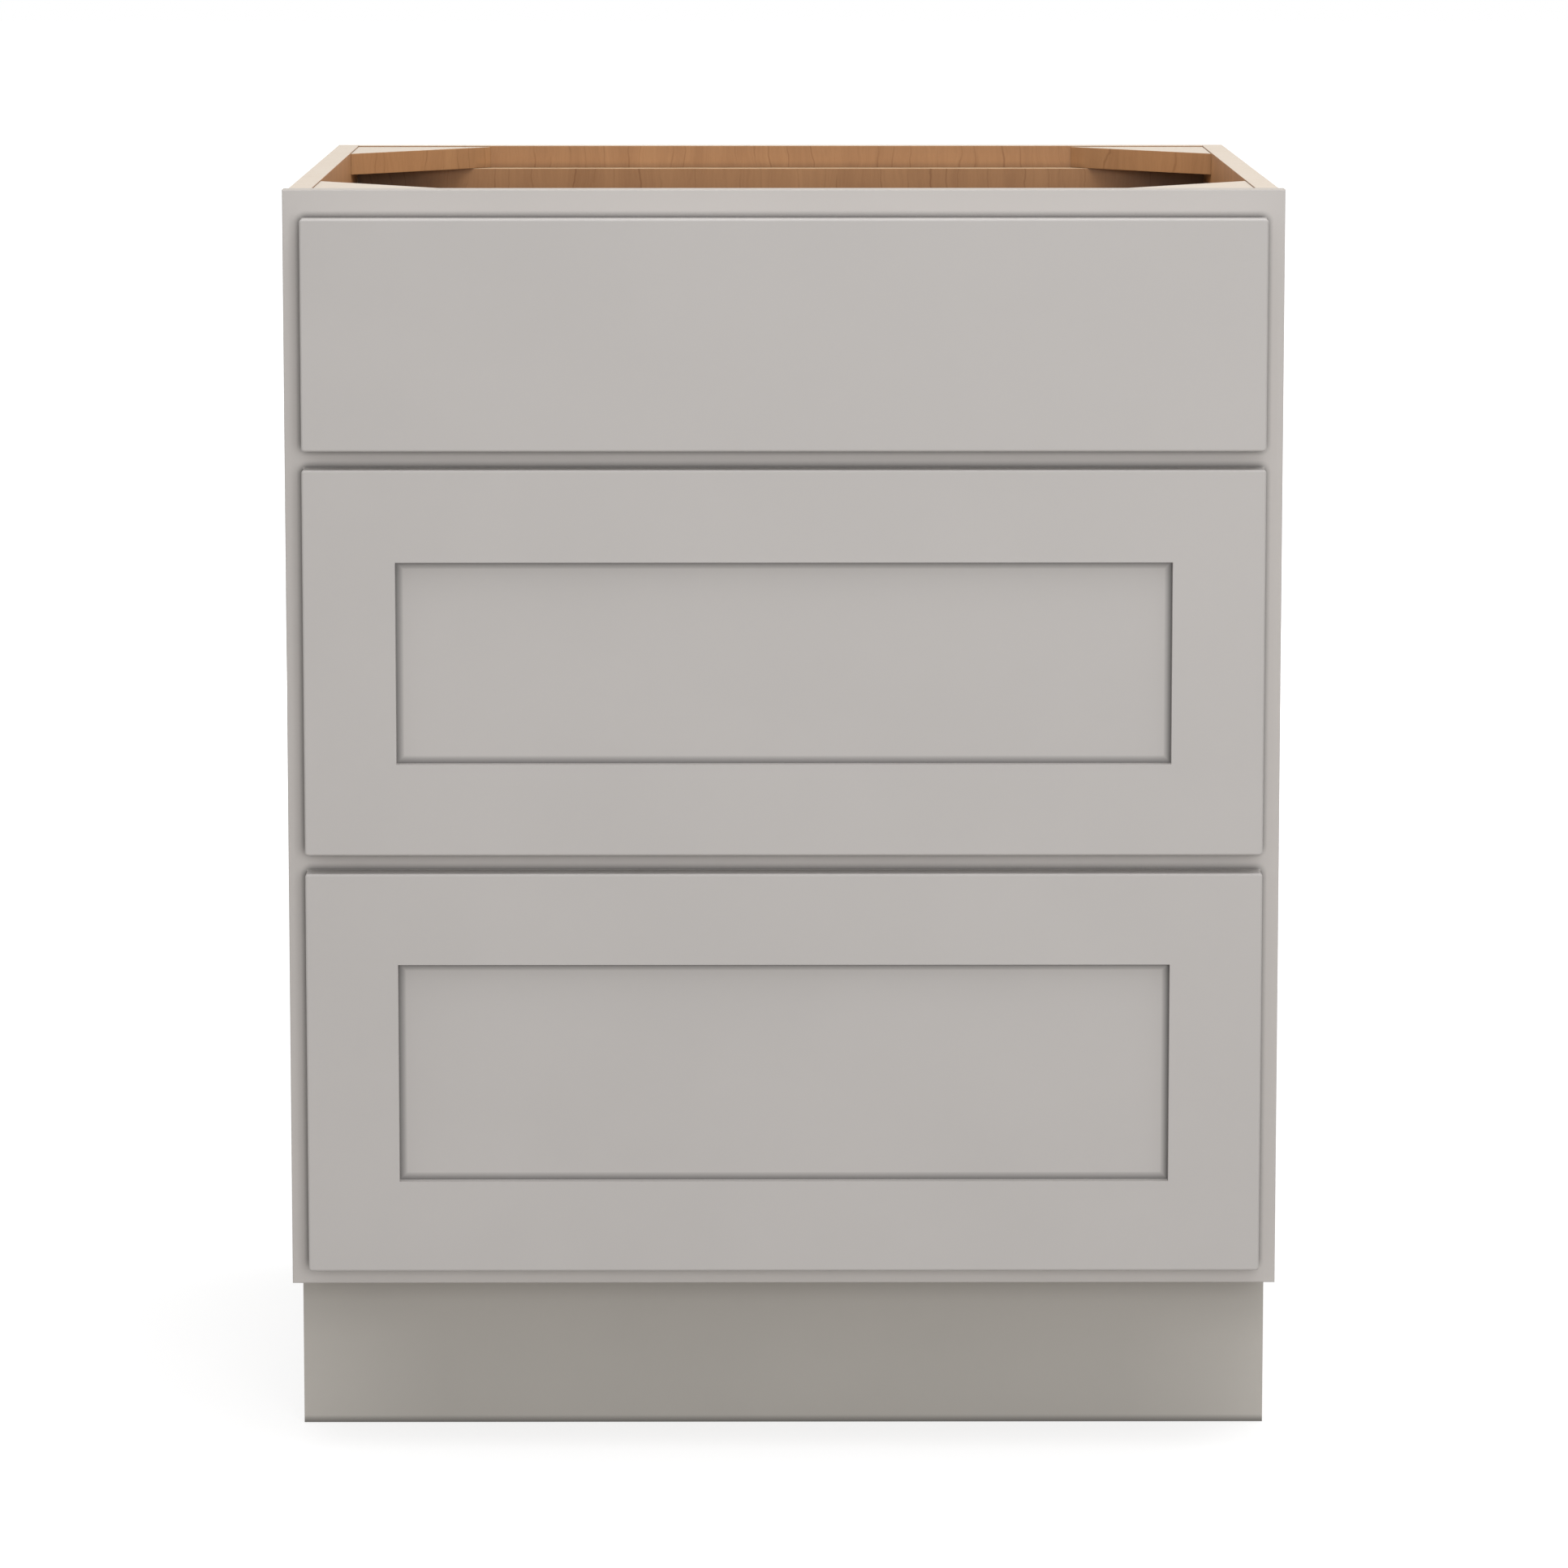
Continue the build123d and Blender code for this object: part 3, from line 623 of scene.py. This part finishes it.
def stack_loops(shape, loops, matrix):
    """Skin closed loops of points one after the other. A loop of one point closes an end."""
    rows = [[shape.verts.new(matrix @ Vector(point)) for point in loop] for loop in loops]
    for inner, outer in zip(rows, rows[1:]):
        count = max(len(inner), len(outer))
        for step in range(count):
            after = (step + 1) % count
            turns = ((inner, step), (outer, step), (outer, after), (inner, after))
            corners = [row[at % len(row)] for row, at in turns]
            face = shape.faces.new(list(dict.fromkeys(corners)))
            face.smooth = True


def ring(radius, height, turns):
    """A circle of points at the given turns, or its middle alone."""
    if not radius:
        return [(0, 0, height)]
    return [(radius * math.cos(turn), radius * math.sin(turn), height) for turn in turns]


def facing_matrix(place, direction):
    """Moves a piece made along +Z to a place, with +Z turned to a direction."""
    turn = Vector((0, 0, 1)).rotation_difference(Vector(direction)).to_matrix().to_4x4()
    return Matrix.Translation(Vector(place)) @ turn


def add_screw(shape, place, direction, radius, height):
    """A pan head with a tapered cross recess, seated on a face."""
    arm, reach = radius * 0.15, radius * 0.56
    eighth = [0.0, math.atan2(arm, reach), 0.36, 0.58]
    quarter = eighth + [math.pi / 4] + [math.pi / 2 - turn for turn in reversed(eighth[1:])]
    turns = [turn + side * math.pi / 2 for side in range(4) for turn in quarter]

    def cross(scale, level):
        points = []
        for turn in turns:
            across, upright = abs(math.cos(turn)) + 1e-9, abs(math.sin(turn)) + 1e-9
            out = max(min(reach / across, arm / upright), min(arm / across, reach / upright)) * scale
            points.append((out * math.cos(turn), out * math.sin(turn), level))
        return points

    def dome(share_out):
        return height * (1 - 0.34 * share_out ** 2.6)

    recess = [cross(0.55, height * 0.34), cross(0.96, dome(0.5)), cross(1.0, dome(0.52))]
    crown = [ring(radius * share_out, dome(share_out), turns) for share_out in (0.68, 0.8, 0.9, 0.96)]
    rim = [ring(radius, height * level, turns) for level in (0.5, 0.2, 0.0)]
    loops = [[(0, 0, height * 0.30)], *recess, *crown, *rim, [(0, 0, 0)]]
    stack_loops(shape, loops, facing_matrix(place, direction))


def add_bar(shape, low, high, matrix, round_by):
    """A bar with rounded edges between two corners."""
    made = bmesh.ops.create_cube(shape, size=1.0)["verts"]
    size = Vector(high) - Vector(low)
    middle = (Vector(high) + Vector(low)) / 2
    for vert in made:
        vert.co = matrix @ (Vector(a * b for a, b in zip(vert.co, size)) + middle)
    edges = list(dict.fromkeys(edge for vert in made for edge in vert.link_edges))
    bmesh.ops.bevel(
        shape, geom=edges, offset=round_by, segments=3, profile=0.5, affect="EDGES", clamp_overlap=True
    )


# One operator for each piece or group of like pieces
class CABINET_OT_face_frame(bpy.types.Operator):
    """Paint the stiles and rails of the face frame"""

    bl_idname = "cabinet.face_frame"
    bl_label = "Face frame"

    def execute(self, context):
        finish_nodes(FRAME_STILES, frame_material("frame_stile_paint", "Z"))
        finish_nodes(FRAME_RAILS, frame_material("frame_rail_paint", "X"))
        return {"FINISHED"}


class CABINET_OT_drawer_fronts(bpy.types.Operator):
    """Paint the slab front and the framed fronts with their sunk panels"""

    bl_idname = "cabinet.drawer_fronts"
    bl_label = "Drawer fronts"

    def execute(self, context):
        paint = context.scene.cabinet_finishes.paint
        upright = painted_material("front_paint_upright", paint, "Z")
        level = painted_material("front_paint_level", paint, "X")
        finish_nodes(["top_front_slab"], level)
        for name in PANEL_FRONTS:
            finish_nodes([f"{name}_front_stile_{side}" for side in SIDES], upright)
            finish_nodes([f"{name}_front_rail_top", f"{name}_front_rail_bottom"], level)
            panel = panel_material(f"front_paint_{name}_panel", "X", self.recess(name))
            finish_nodes([f"{name}_front_panel"], panel)
        return {"FINISHED"}

    @staticmethod
    def recess(name):
        """The box that the stiles and rails of a front leave for its panel, open to front and rear."""
        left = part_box(f"{name}_front_stile_left")[1].x
        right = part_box(f"{name}_front_stile_right")[0].x
        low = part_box(f"{name}_front_rail_bottom")[1].z
        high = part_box(f"{name}_front_rail_top")[0].z
        return Vector((left, -1.0, low)), Vector((right, 1.0, high))


class CABINET_OT_toe_kick(bpy.types.Operator):
    """Paint the toe board's face and leave its rear bare, with painted shade on its foot and on all but its
    lower ends
    """

    bl_idname = "cabinet.toe_kick"
    bl_label = "Toe kick"

    # Shares of the paint that the foot and the middle keep under the painted shade
    foot_share = 0.42
    middle_share = 0.885
    # How far the light ends reach in, and the heights between which they fade, in metres
    end_reach = 0.1
    fade_from = 0.055
    fade_to = 0.09

    def execute(self, context):
        board = board_material(
            "toe_board", "X", painted=("Front", "Left", "Right"), raw=("Rear", "Under"), edges=("Top",),
            paint=context.scene.cabinet_finishes.toe_paint,
        )
        self.shade_face(board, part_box("toe_kick")[1].x, context.scene.cabinet_details.crevice)
        finish_nodes(["toe_kick"], board)
        return {"FINISHED"}

    def shade_face(self, board, half, reach):
        """Darken the foot at the floor, and all but the lower ends, which take light from the side."""
        tree = board.node_tree
        along, _, high = split(tree, tree.nodes["Texture Coordinate"].outputs["Object"])
        foot = ramp(tree, high, 0.0, reach, self.foot_share, 1.0, smooth=False)
        end = ramp(tree, calc(tree, "ABSOLUTE", along), half - self.end_reach, half, smooth=False)
        low = ramp(tree, high, self.fade_from, self.fade_to, 1.0, 0.0)
        lit = calc(tree, "MULTIPLY", end, low)
        rest = ramp(tree, lit, 0.0, 1.0, self.middle_share, 1.0, smooth=False)
        shade_paint(board, calc(tree, "MULTIPLY", foot, rest))


class CABINET_OT_side_panels(bpy.types.Operator):
    """Finish the two sides: painted outside, veneered inside, pale edges"""

    bl_idname = "cabinet.side_panels"
    bl_label = "Side panels"

    def execute(self, context):
        ease = context.scene.cabinet_details.board_ease
        for side, outside in zip(SIDES, ("Left", "Right")):
            material = board_material(
                f"side_board_{side}", "Z", painted=(outside,), edges=("Top", "Under", "Front", "Rear"),
                bright=("Top", "Front", "Rear", outside), deep=0.55,
            )
            finish_nodes([f"side_panel_{side}"], material, ease)
        return {"FINISHED"}


class CABINET_OT_inner_boards(bpy.types.Operator):
    """Finish the back, the hanging rail, the bottom panel and the corner braces"""

    bl_idname = "cabinet.inner_boards"
    bl_label = "Back, bottom and braces"

    def execute(self, context):
        ease = context.scene.cabinet_details.board_ease
        # The back's veneer is darkened by depth: painted shade on the back wall
        back = board_material(
            "back_board", "Z", raw=("Rear", "Top"), edges=("Under", "Left", "Right"),
            bright=("Top", "Rear"), deep=0.55, depth=0.92,
        )
        finish_nodes(["back_panel"], back, ease)
        rail = board_material("hanging_board", "Z", raw=("Rear",), edges=("Top", "Under", "Left", "Right"))
        finish_nodes(["hanging_rail"], rail, ease)
        deck = board_material("deck_board", "X", raw=("Under",), edges=("Front", "Rear", "Left", "Right"))
        finish_nodes(["bottom_panel"], deck, ease)
        brace = board_material("brace_board", "Z", edges=("Top", "Under"))
        finish_nodes(["corner_braces"], brace, ease)
        return {"FINISHED"}


class CABINET_OT_drawer_boxes(bpy.types.Operator):
    """Finish the dovetailed drawer boxes in clear-coated maple"""

    bl_idname = "cabinet.drawer_boxes"
    bl_label = "Drawer boxes"

    def execute(self, context):
        ease = context.scene.cabinet_details.board_ease
        sides = maple_material("maple_side", "Y")
        ends = maple_material("maple_end", "X")
        bottoms = maple_material("maple_bottom", "X")
        for name in DRAWERS:
            finish_nodes([f"{name}_box_side_{side}" for side in SIDES], sides, ease)
            finish_nodes([f"{name}_box_front", f"{name}_box_back"], ends, ease)
            finish_nodes([f"{name}_box_bottom"], bottoms, ease)
        return {"FINISHED"}


class CABINET_OT_slides(bpy.types.Operator):
    """Finish the channels, brackets, carriages, runners and lock plates in zinc plate"""

    bl_idname = "cabinet.slides"
    bl_label = "Drawer slides"

    def execute(self, context):
        plate = steel_material("zinc_plate", context.scene.cabinet_finishes.steel, sheen=0.36)
        names = ["slide_channels", "slide_rear_brackets"]
        for name in DRAWERS:
            names += [f"{name}_slide_carriages", f"{name}_slide_runners", f"{name}_drawer_locks"]
        finish_nodes(names, plate)
        return {"FINISHED"}


class CABINET_OT_release_levers(bpy.types.Operator):
    """Finish the release levers and add the grip ribs on their finger tabs"""

    bl_idname = "cabinet.release_levers"
    bl_label = "Release levers"

    # The finger tab and its ribs, in metres
    tab_radius = 0.0045
    rib_count = 5
    rib_pitch = 0.0021
    rib_width = 0.0010
    rib_length = 0.0066
    rib_root = 0.0006
    rib_rounding = 0.00035

    def execute(self, context):
        nylon = moulded_material("moulded_nylon", context.scene.cabinet_finishes.nylon, sheen=0.5)
        details = context.scene.cabinet_details
        for name in DRAWERS:
            for side in SIDES:
                node = f"{name}_lock_lever_{side}"
                finish_nodes([node], nylon, details.board_ease)
                self.add_ribs(node, f"{name}_lever_{side}", nylon, details.rib_height)
        return {"FINISHED"}

    def add_ribs(self, node, body, material, height):
        """Ribs across the finger tab, on the lever's underside, with their roots in the tab."""
        low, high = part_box(node)
        inward = -1 if low.x > 0 else 1
        tab_end = low.x if inward < 0 else high.x
        first = Vector((tab_end - inward * self.tab_radius, low.y + self.tab_radius, low.z))
        up = Vector((0, 0, 1))
        along = Vector((-inward, 1.0, 0.0)).normalized()
        turn = Matrix((along, up.cross(along), up)).transposed().to_4x4()
        corner = Vector((self.rib_width / 2, self.rib_length / 2, self.rib_root))
        opposite = Vector((-corner.x, -corner.y, -height))
        shape = bmesh.new()
        for index in range(self.rib_count):
            place = first + along * (index * self.rib_pitch)
            add_bar(shape, opposite, corner, Matrix.Translation(place) @ turn, self.rib_rounding)
        new_piece(f"{node}_ribs", shape, material, body)


class CABINET_OT_bumpers(bpy.types.Operator):
    """Domed soft pads behind the corners of the fronts"""

    bl_idname = "cabinet.bumpers"
    bl_label = "Bumpers"

    # A pad's radius in metres, the share of its thickness that stands straight, and the steps of its curves
    pad_radius = 0.0039
    rim_share = 0.16
    dome_steps = 8
    round_steps = 28
    # Points of the CAD node that lie closer than this, in metres, belong to one pad
    pad_span = 0.00975

    def execute(self, context):
        soft = moulded_material("soft_bumper", context.scene.cabinet_finishes.bumper, sheen=0.4)
        low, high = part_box("drawer_bumpers")
        loops = self.dome_loops(high.y - low.y)
        shape = bmesh.new()
        for place in self.places():
            stack_loops(shape, loops, facing_matrix((place.x, high.y, place.z), (0, -1, 0)))
        pads = new_piece("soft_bumpers", shape, soft, "carcass")
        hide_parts("drawer_bumpers")
        return {"FINISHED"}

    def dome_loops(self, thickness):
        """The loops of one pad: a quarter ellipse over a short straight rim, closed below."""
        rim = self.rim_share * thickness
        rise = thickness - rim
        bends = [math.pi / 2 * step / self.dome_steps for step in range(self.dome_steps + 1)]
        profile = [(self.pad_radius * math.sin(bend), rim + rise * math.cos(bend)) for bend in bends]
        profile += [(self.pad_radius, 0.0), (0.0, 0.0)]
        turns = [2 * math.pi * step / self.round_steps for step in range(self.round_steps)]
        return [ring(across, level, turns) for across, level in profile]

    def places(self):
        """The middle of each pad of the CAD node."""
        pads = []
        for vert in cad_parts["drawer_bumpers"].data.vertices:
            near = [pad for pad in pads if (pad[0] - vert.co).length < self.pad_span]
            if near:
                near[0].append(vert.co)
            else:
                pads.append([vert.co])
        middles = []
        for pad in pads:
            low, high = (Vector(pick(axis) for axis in zip(*pad)) for pick in (min, max))
            middles.append((low + high) / 2)
        return middles


class CABINET_OT_screws(bpy.types.Operator):
    """Cross-head screws in the drawer fronts, the locks, the slides and the rear brackets"""

    bl_idname = "cabinet.screws"
    bl_label = "Screws"

    # Places of the screws, in metres from the edges of what they hold or from the rail below
    front_from_middle = 0.18
    front_from_foot = 0.040
    front_from_top = 0.020
    lock_from_edge = 0.004
    lock_from_end = (0.0055, 0.020)
    channel_rises = (0.011, 0.022)
    bracket_rises = (0.015, 0.029)
    # Thickness of the plates under the heads, and how high the locks' tops lie above the rail below
    lock_steel = 0.0016
    slide_steel = 0.0015
    lock_lift = 0.027
    # Smaller heads beside the full one, and flatter ones on the channels
    small_head = 0.8
    flat_head = 0.7

    def execute(self, context):
        details = context.scene.cabinet_details
        self.radius, self.height = details.screw_radius, details.screw_height
        plate = steel_material("screw_zinc", context.scene.cabinet_finishes.steel, sheen=0.28)
        for name in DRAWERS:
            new_piece(f"{name}_screws", self.drawer_screws(name), plate, f"{name}_drawer")
        new_piece("slide_screws", self.slide_screws(), plate, "carcass")
        return {"FINISHED"}

    def drawer_screws(self, name):
        """Four screws through the box front into the drawer front, and two in each lock plate."""
        shape = bmesh.new()
        low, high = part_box(f"{name}_box_front")
        for x in (-self.front_from_middle, self.front_from_middle):
            for z in (low.z + self.front_from_foot, high.z - self.front_from_top):
                add_screw(shape, (x, high.y, z), (0, 1, 0), self.radius, self.height)
        lock_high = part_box(f"{name}_drawer_locks")[1]
        across = inner_edge(f"{name}_drawer_locks") + self.lock_from_edge
        under = lock_high.z - self.lock_steel
        radius, height = self.radius * self.small_head, self.height * self.small_head
        for side in (-1, 1):
            for distance in self.lock_from_end:
                add_screw(shape, (side * across, lock_high.y - distance, under), (0, 0, -1), radius, height)
        return shape

    def slide_screws(self):
        """Two screws through each channel's flange into the stile, and two through each rear bracket."""
        shape = bmesh.new()
        channel_low, channel_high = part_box("slide_channels")
        flange = channel_high.x - self.slide_steel
        stile_middle = (channel_low.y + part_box("frame_stile_left")[1].y) / 2
        bracket_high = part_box("slide_rear_brackets")[1]
        bracket_middle = (inner_edge("slide_rear_brackets") + bracket_high.x) / 2
        bracket_front = bracket_high.y - self.slide_steel
        radius, height = self.radius * self.small_head, self.height * self.flat_head
        for name in DRAWERS:
            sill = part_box(f"{name}_drawer_locks")[1].z - self.lock_lift
            for side in (-1, 1):
                for rise in self.channel_rises:
                    place = (side * flange, stile_middle, sill + rise)
                    add_screw(shape, place, (-side, 0, 0), radius, height)
                for rise in self.bracket_rises:
                    place = (side * bracket_middle, bracket_front, sill + rise)
                    add_screw(shape, place, (0, -1, 0), self.radius, self.height)
        return shape


class CABINET_OT_staples(bpy.types.Operator):
    """Crown staples through the back into the rear edge of the bottom panel"""

    bl_idname = "cabinet.staples"
    bl_label = "Staples"

    # Staples in the row, and how far it stays from the back's ends, in metres
    count = 7
    from_end = 0.06
    # How far a crown stands out of the back, how round its edges are, and the greatest tilt
    crown_rise = 0.0004
    crown_rounding = 0.0003
    tilt = math.radians(8)
    # The wave behind each staple's own tilt: its step between staples, and its start for each metre up
    tilt_step = 5.0
    tilt_start = 40.0

    def execute(self, context):
        details = context.scene.cabinet_details
        corner = Vector((details.staple_crown / 2, self.crown_rise, details.staple_wire / 2))
        back_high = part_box("back_panel")[1]
        deck_low, deck_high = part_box("bottom_panel")
        z = (deck_low.z + deck_high.z) / 2
        reach = back_high.x - self.from_end
        shape = bmesh.new()
        for index in range(self.count):
            x = -reach + 2 * reach * index / (self.count - 1)
            wave = math.sin(self.tilt_step * index + self.tilt_start * z)
            turn = Matrix.Rotation(self.tilt * wave, 4, "Y")
            matrix = Matrix.Translation(Vector((x, back_high.y, z))) @ turn
            add_bar(shape, -corner, corner, matrix, self.crown_rounding)
        new_piece("crown_staples", shape, bpy.data.materials["screw_zinc"], "carcass")
        return {"FINISHED"}


class CABINET_OT_stage(bpy.types.Operator):
    """Floor, white surround, lamps and camera"""

    bl_idname = "cabinet.stage"
    bl_label = "Stage"

    # The floor's reach and drop in metres, its grey to the camera, and where its glow begins and ends
    floor_reach = 30.0
    floor_drop = 0.0002
    floor_grey = 0.38
    glow_near = 1.2
    glow_far = 4.0
    # Each lamp's place, what it points at, and its size, in metres
    lamps = {
        "front": ((0.7, -4.6, 0.9), (0.0, -0.3, 0.45), (2.0, 2.0)),
        "high": ((0.5, -3.4, 4.0), (0.0, -0.3, 0.5), (2.8, 1.8)),
        "rear": ((-0.9, 4.2, 0.5), (0.0, 0.3, 0.45), (3.0, 0.6)),
        "top": ((0.35, -0.1, 3.4), (0.0, 0.1, 0.8), (3.2, 2.8)),
    }

    def execute(self, context):
        scene = context.scene
        stage = scene.cabinet_stage
        scene.view_settings.view_transform = "Standard"
        self.add_surround(scene, stage)
        self.add_floor(scene, stage)
        for name, (place, aim, size) in self.lamps.items():
            self.add_lamp(scene, f"{name}_lamp", place, aim, size, getattr(stage, f"{name}_power"))
        self.add_camera(scene, stage)
        return {"FINISHED"}

    @staticmethod
    def seen(tree):
        """1 for what the camera sees, straight or in metal or glass."""
        path = tree.nodes.new("ShaderNodeLightPath").outputs
        both = calc(tree, "ADD", path["Is Camera Ray"], path["Is Glossy Ray"], clamp=True)
        return calc(tree, "ADD", both, path["Is Transmission Ray"], clamp=True)

    def add_surround(self, scene, stage):
        """White to the camera, and a plain fill light to the cabinet."""
        world = bpy.data.worlds.new("surround")
        world.use_nodes = True
        tree = world.node_tree
        tree.nodes.clear()
        fill = add_node(tree, "ShaderNodeBackground", {"Color": (1.0, 1.0, 1.0), "Strength": stage.fill})
        white = add_node(tree, "ShaderNodeBackground", {"Color": (1.0, 1.0, 1.0), "Strength": 1.0})
        mixed = mix_shaders(tree, self.seen(tree), fill, white)
        add_node(tree, "ShaderNodeOutputWorld", {"Surface": mixed.outputs[0]})
        scene.world = world

    def add_floor(self, scene, stage):
        """A wide pale floor that keeps the cabinet's shadow and is clear from below."""
        shape = bmesh.new()
        bmesh.ops.create_grid(shape, x_segments=8, y_segments=8, size=self.floor_reach)
        bmesh.ops.translate(shape, verts=shape.verts, vec=(0, 0, -self.floor_drop))
        mesh = bpy.data.meshes.new("floor")
        shape.to_mesh(mesh)
        shape.free()
        mesh.materials.append(self.floor_material(stage))
        floor = bpy.data.objects.new("floor", mesh)
        scene.collection.objects.link(floor)

    def floor_material(self, stage):
        """Plain to the cabinet, near white to the camera, whiter far out, and clear from below."""
        material = bpy.data.materials.new("pale_floor")
        material.use_nodes = True
        tree = material.node_tree
        tree.nodes.clear()
        plain = add_node(tree, "ShaderNodeBsdfDiffuse", {"Color": tuple(stage.floor)})
        neutral = add_node(tree, "ShaderNodeBsdfDiffuse", {"Color": (self.floor_grey,) * 3})
        place = tree.nodes.new("ShaderNodeTexCoord").outputs["Object"]
        away = add_node(tree, "ShaderNodeVectorMath", {0: place}, operation="LENGTH").outputs["Value"]
        white = ramp(tree, away, self.glow_near, self.glow_far, stage.floor_glow, 1.0)
        glow = add_node(tree, "ShaderNodeEmission", {"Color": (1.0, 1.0, 1.0), "Strength": white})
        lit = add_node(tree, "ShaderNodeAddShader", {0: neutral.outputs[0], 1: glow.outputs[0]})
        mixed = mix_shaders(tree, self.seen(tree), plain, lit)
        below = tree.nodes.new("ShaderNodeNewGeometry").outputs["Backfacing"]
        one_way = mix_shaders(tree, below, mixed, tree.nodes.new("ShaderNodeBsdfTransparent"))
        add_node(tree, "ShaderNodeOutputMaterial", {"Surface": one_way.outputs[0]})
        return material

    @staticmethod
    def add_lamp(scene, name, place, aim, size, watts):
        """A wide soft lamp that the camera doesn't see."""
        data = bpy.data.lights.new(name, "AREA")
        data.shape = "RECTANGLE"
        data.size, data.size_y = size
        data.energy = watts
        lamp = bpy.data.objects.new(name, data)
        lamp.location = place
        lamp.rotation_mode = "QUATERNION"
        lamp.rotation_quaternion = (Vector(aim) - Vector(place)).to_track_quat("-Z", "Y")
        lamp.visible_camera = False
        scene.collection.objects.link(lamp)

    @staticmethod
    def add_camera(scene, stage):
        """The camera at the photograph's place."""
        data = bpy.data.cameras.new("camera")
        data.sensor_width = 36.0
        data.lens = stage.camera_lens
        data.clip_start, data.clip_end = 0.05, 200.0
        camera = bpy.data.objects.new("camera", data)
        camera.location = stage.camera_place
        camera.rotation_euler = (math.pi / 2 - stage.camera_pitch, 0.0, stage.camera_yaw)
        scene.collection.objects.link(camera)
        scene.camera = camera


# Sidebar and registration
GROUPS = {
    "cabinet_finishes": CabinetFinishes,
    "cabinet_details": CabinetDetails,
    "cabinet_stage": CabinetStage,
}
OPERATORS = (
    CABINET_OT_face_frame,
    CABINET_OT_drawer_fronts,
    CABINET_OT_toe_kick,
    CABINET_OT_side_panels,
    CABINET_OT_inner_boards,
    CABINET_OT_drawer_boxes,
    CABINET_OT_slides,
    CABINET_OT_release_levers,
    CABINET_OT_bumpers,
    CABINET_OT_screws,
    CABINET_OT_staples,
    CABINET_OT_stage,
)


class CABINET_PT_sidebar(bpy.types.Panel):
    """Cabinet pieces, finishes and stage"""

    bl_idname = "CABINET_PT_sidebar"
    bl_label = "Drawer base cabinet"
    bl_space_type = "VIEW_3D"
    bl_region_type = "UI"
    bl_category = "Cabinet"

    def draw(self, context):
        layout = self.layout
        for operator in OPERATORS:
            layout.operator(operator.bl_idname)
        for owner in GROUPS:
            settings = getattr(context.scene, owner)
            box = layout.box()
            for name in settings.__annotations__:
                box.prop(settings, name)


CLASSES = (*GROUPS.values(), *OPERATORS, CABINET_PT_sidebar)


def register():
    """Register the classes and hang the settings on the scene."""
    for kind in CLASSES:
        bpy.utils.register_class(kind)
    for name, kind in GROUPS.items():
        setattr(bpy.types.Scene, name, bpy.props.PointerProperty(type=kind))


def unregister():
    """Take the settings off the scene and unregister the classes."""
    for name in GROUPS:
        delattr(bpy.types.Scene, name)
    for kind in reversed(CLASSES):
        bpy.utils.unregister_class(kind)


def main():
    """Build every piece."""
    register()
    bpy.ops.cabinet.face_frame()
    bpy.ops.cabinet.drawer_fronts()
    bpy.ops.cabinet.toe_kick()
    bpy.ops.cabinet.side_panels()
    bpy.ops.cabinet.inner_boards()
    bpy.ops.cabinet.drawer_boxes()
    bpy.ops.cabinet.slides()
    bpy.ops.cabinet.release_levers()
    bpy.ops.cabinet.bumpers()
    bpy.ops.cabinet.screws()
    bpy.ops.cabinet.staples()
    bpy.ops.cabinet.stage()
    bpy.context.view_layer.update()


if __name__ == "__main__":
    main()
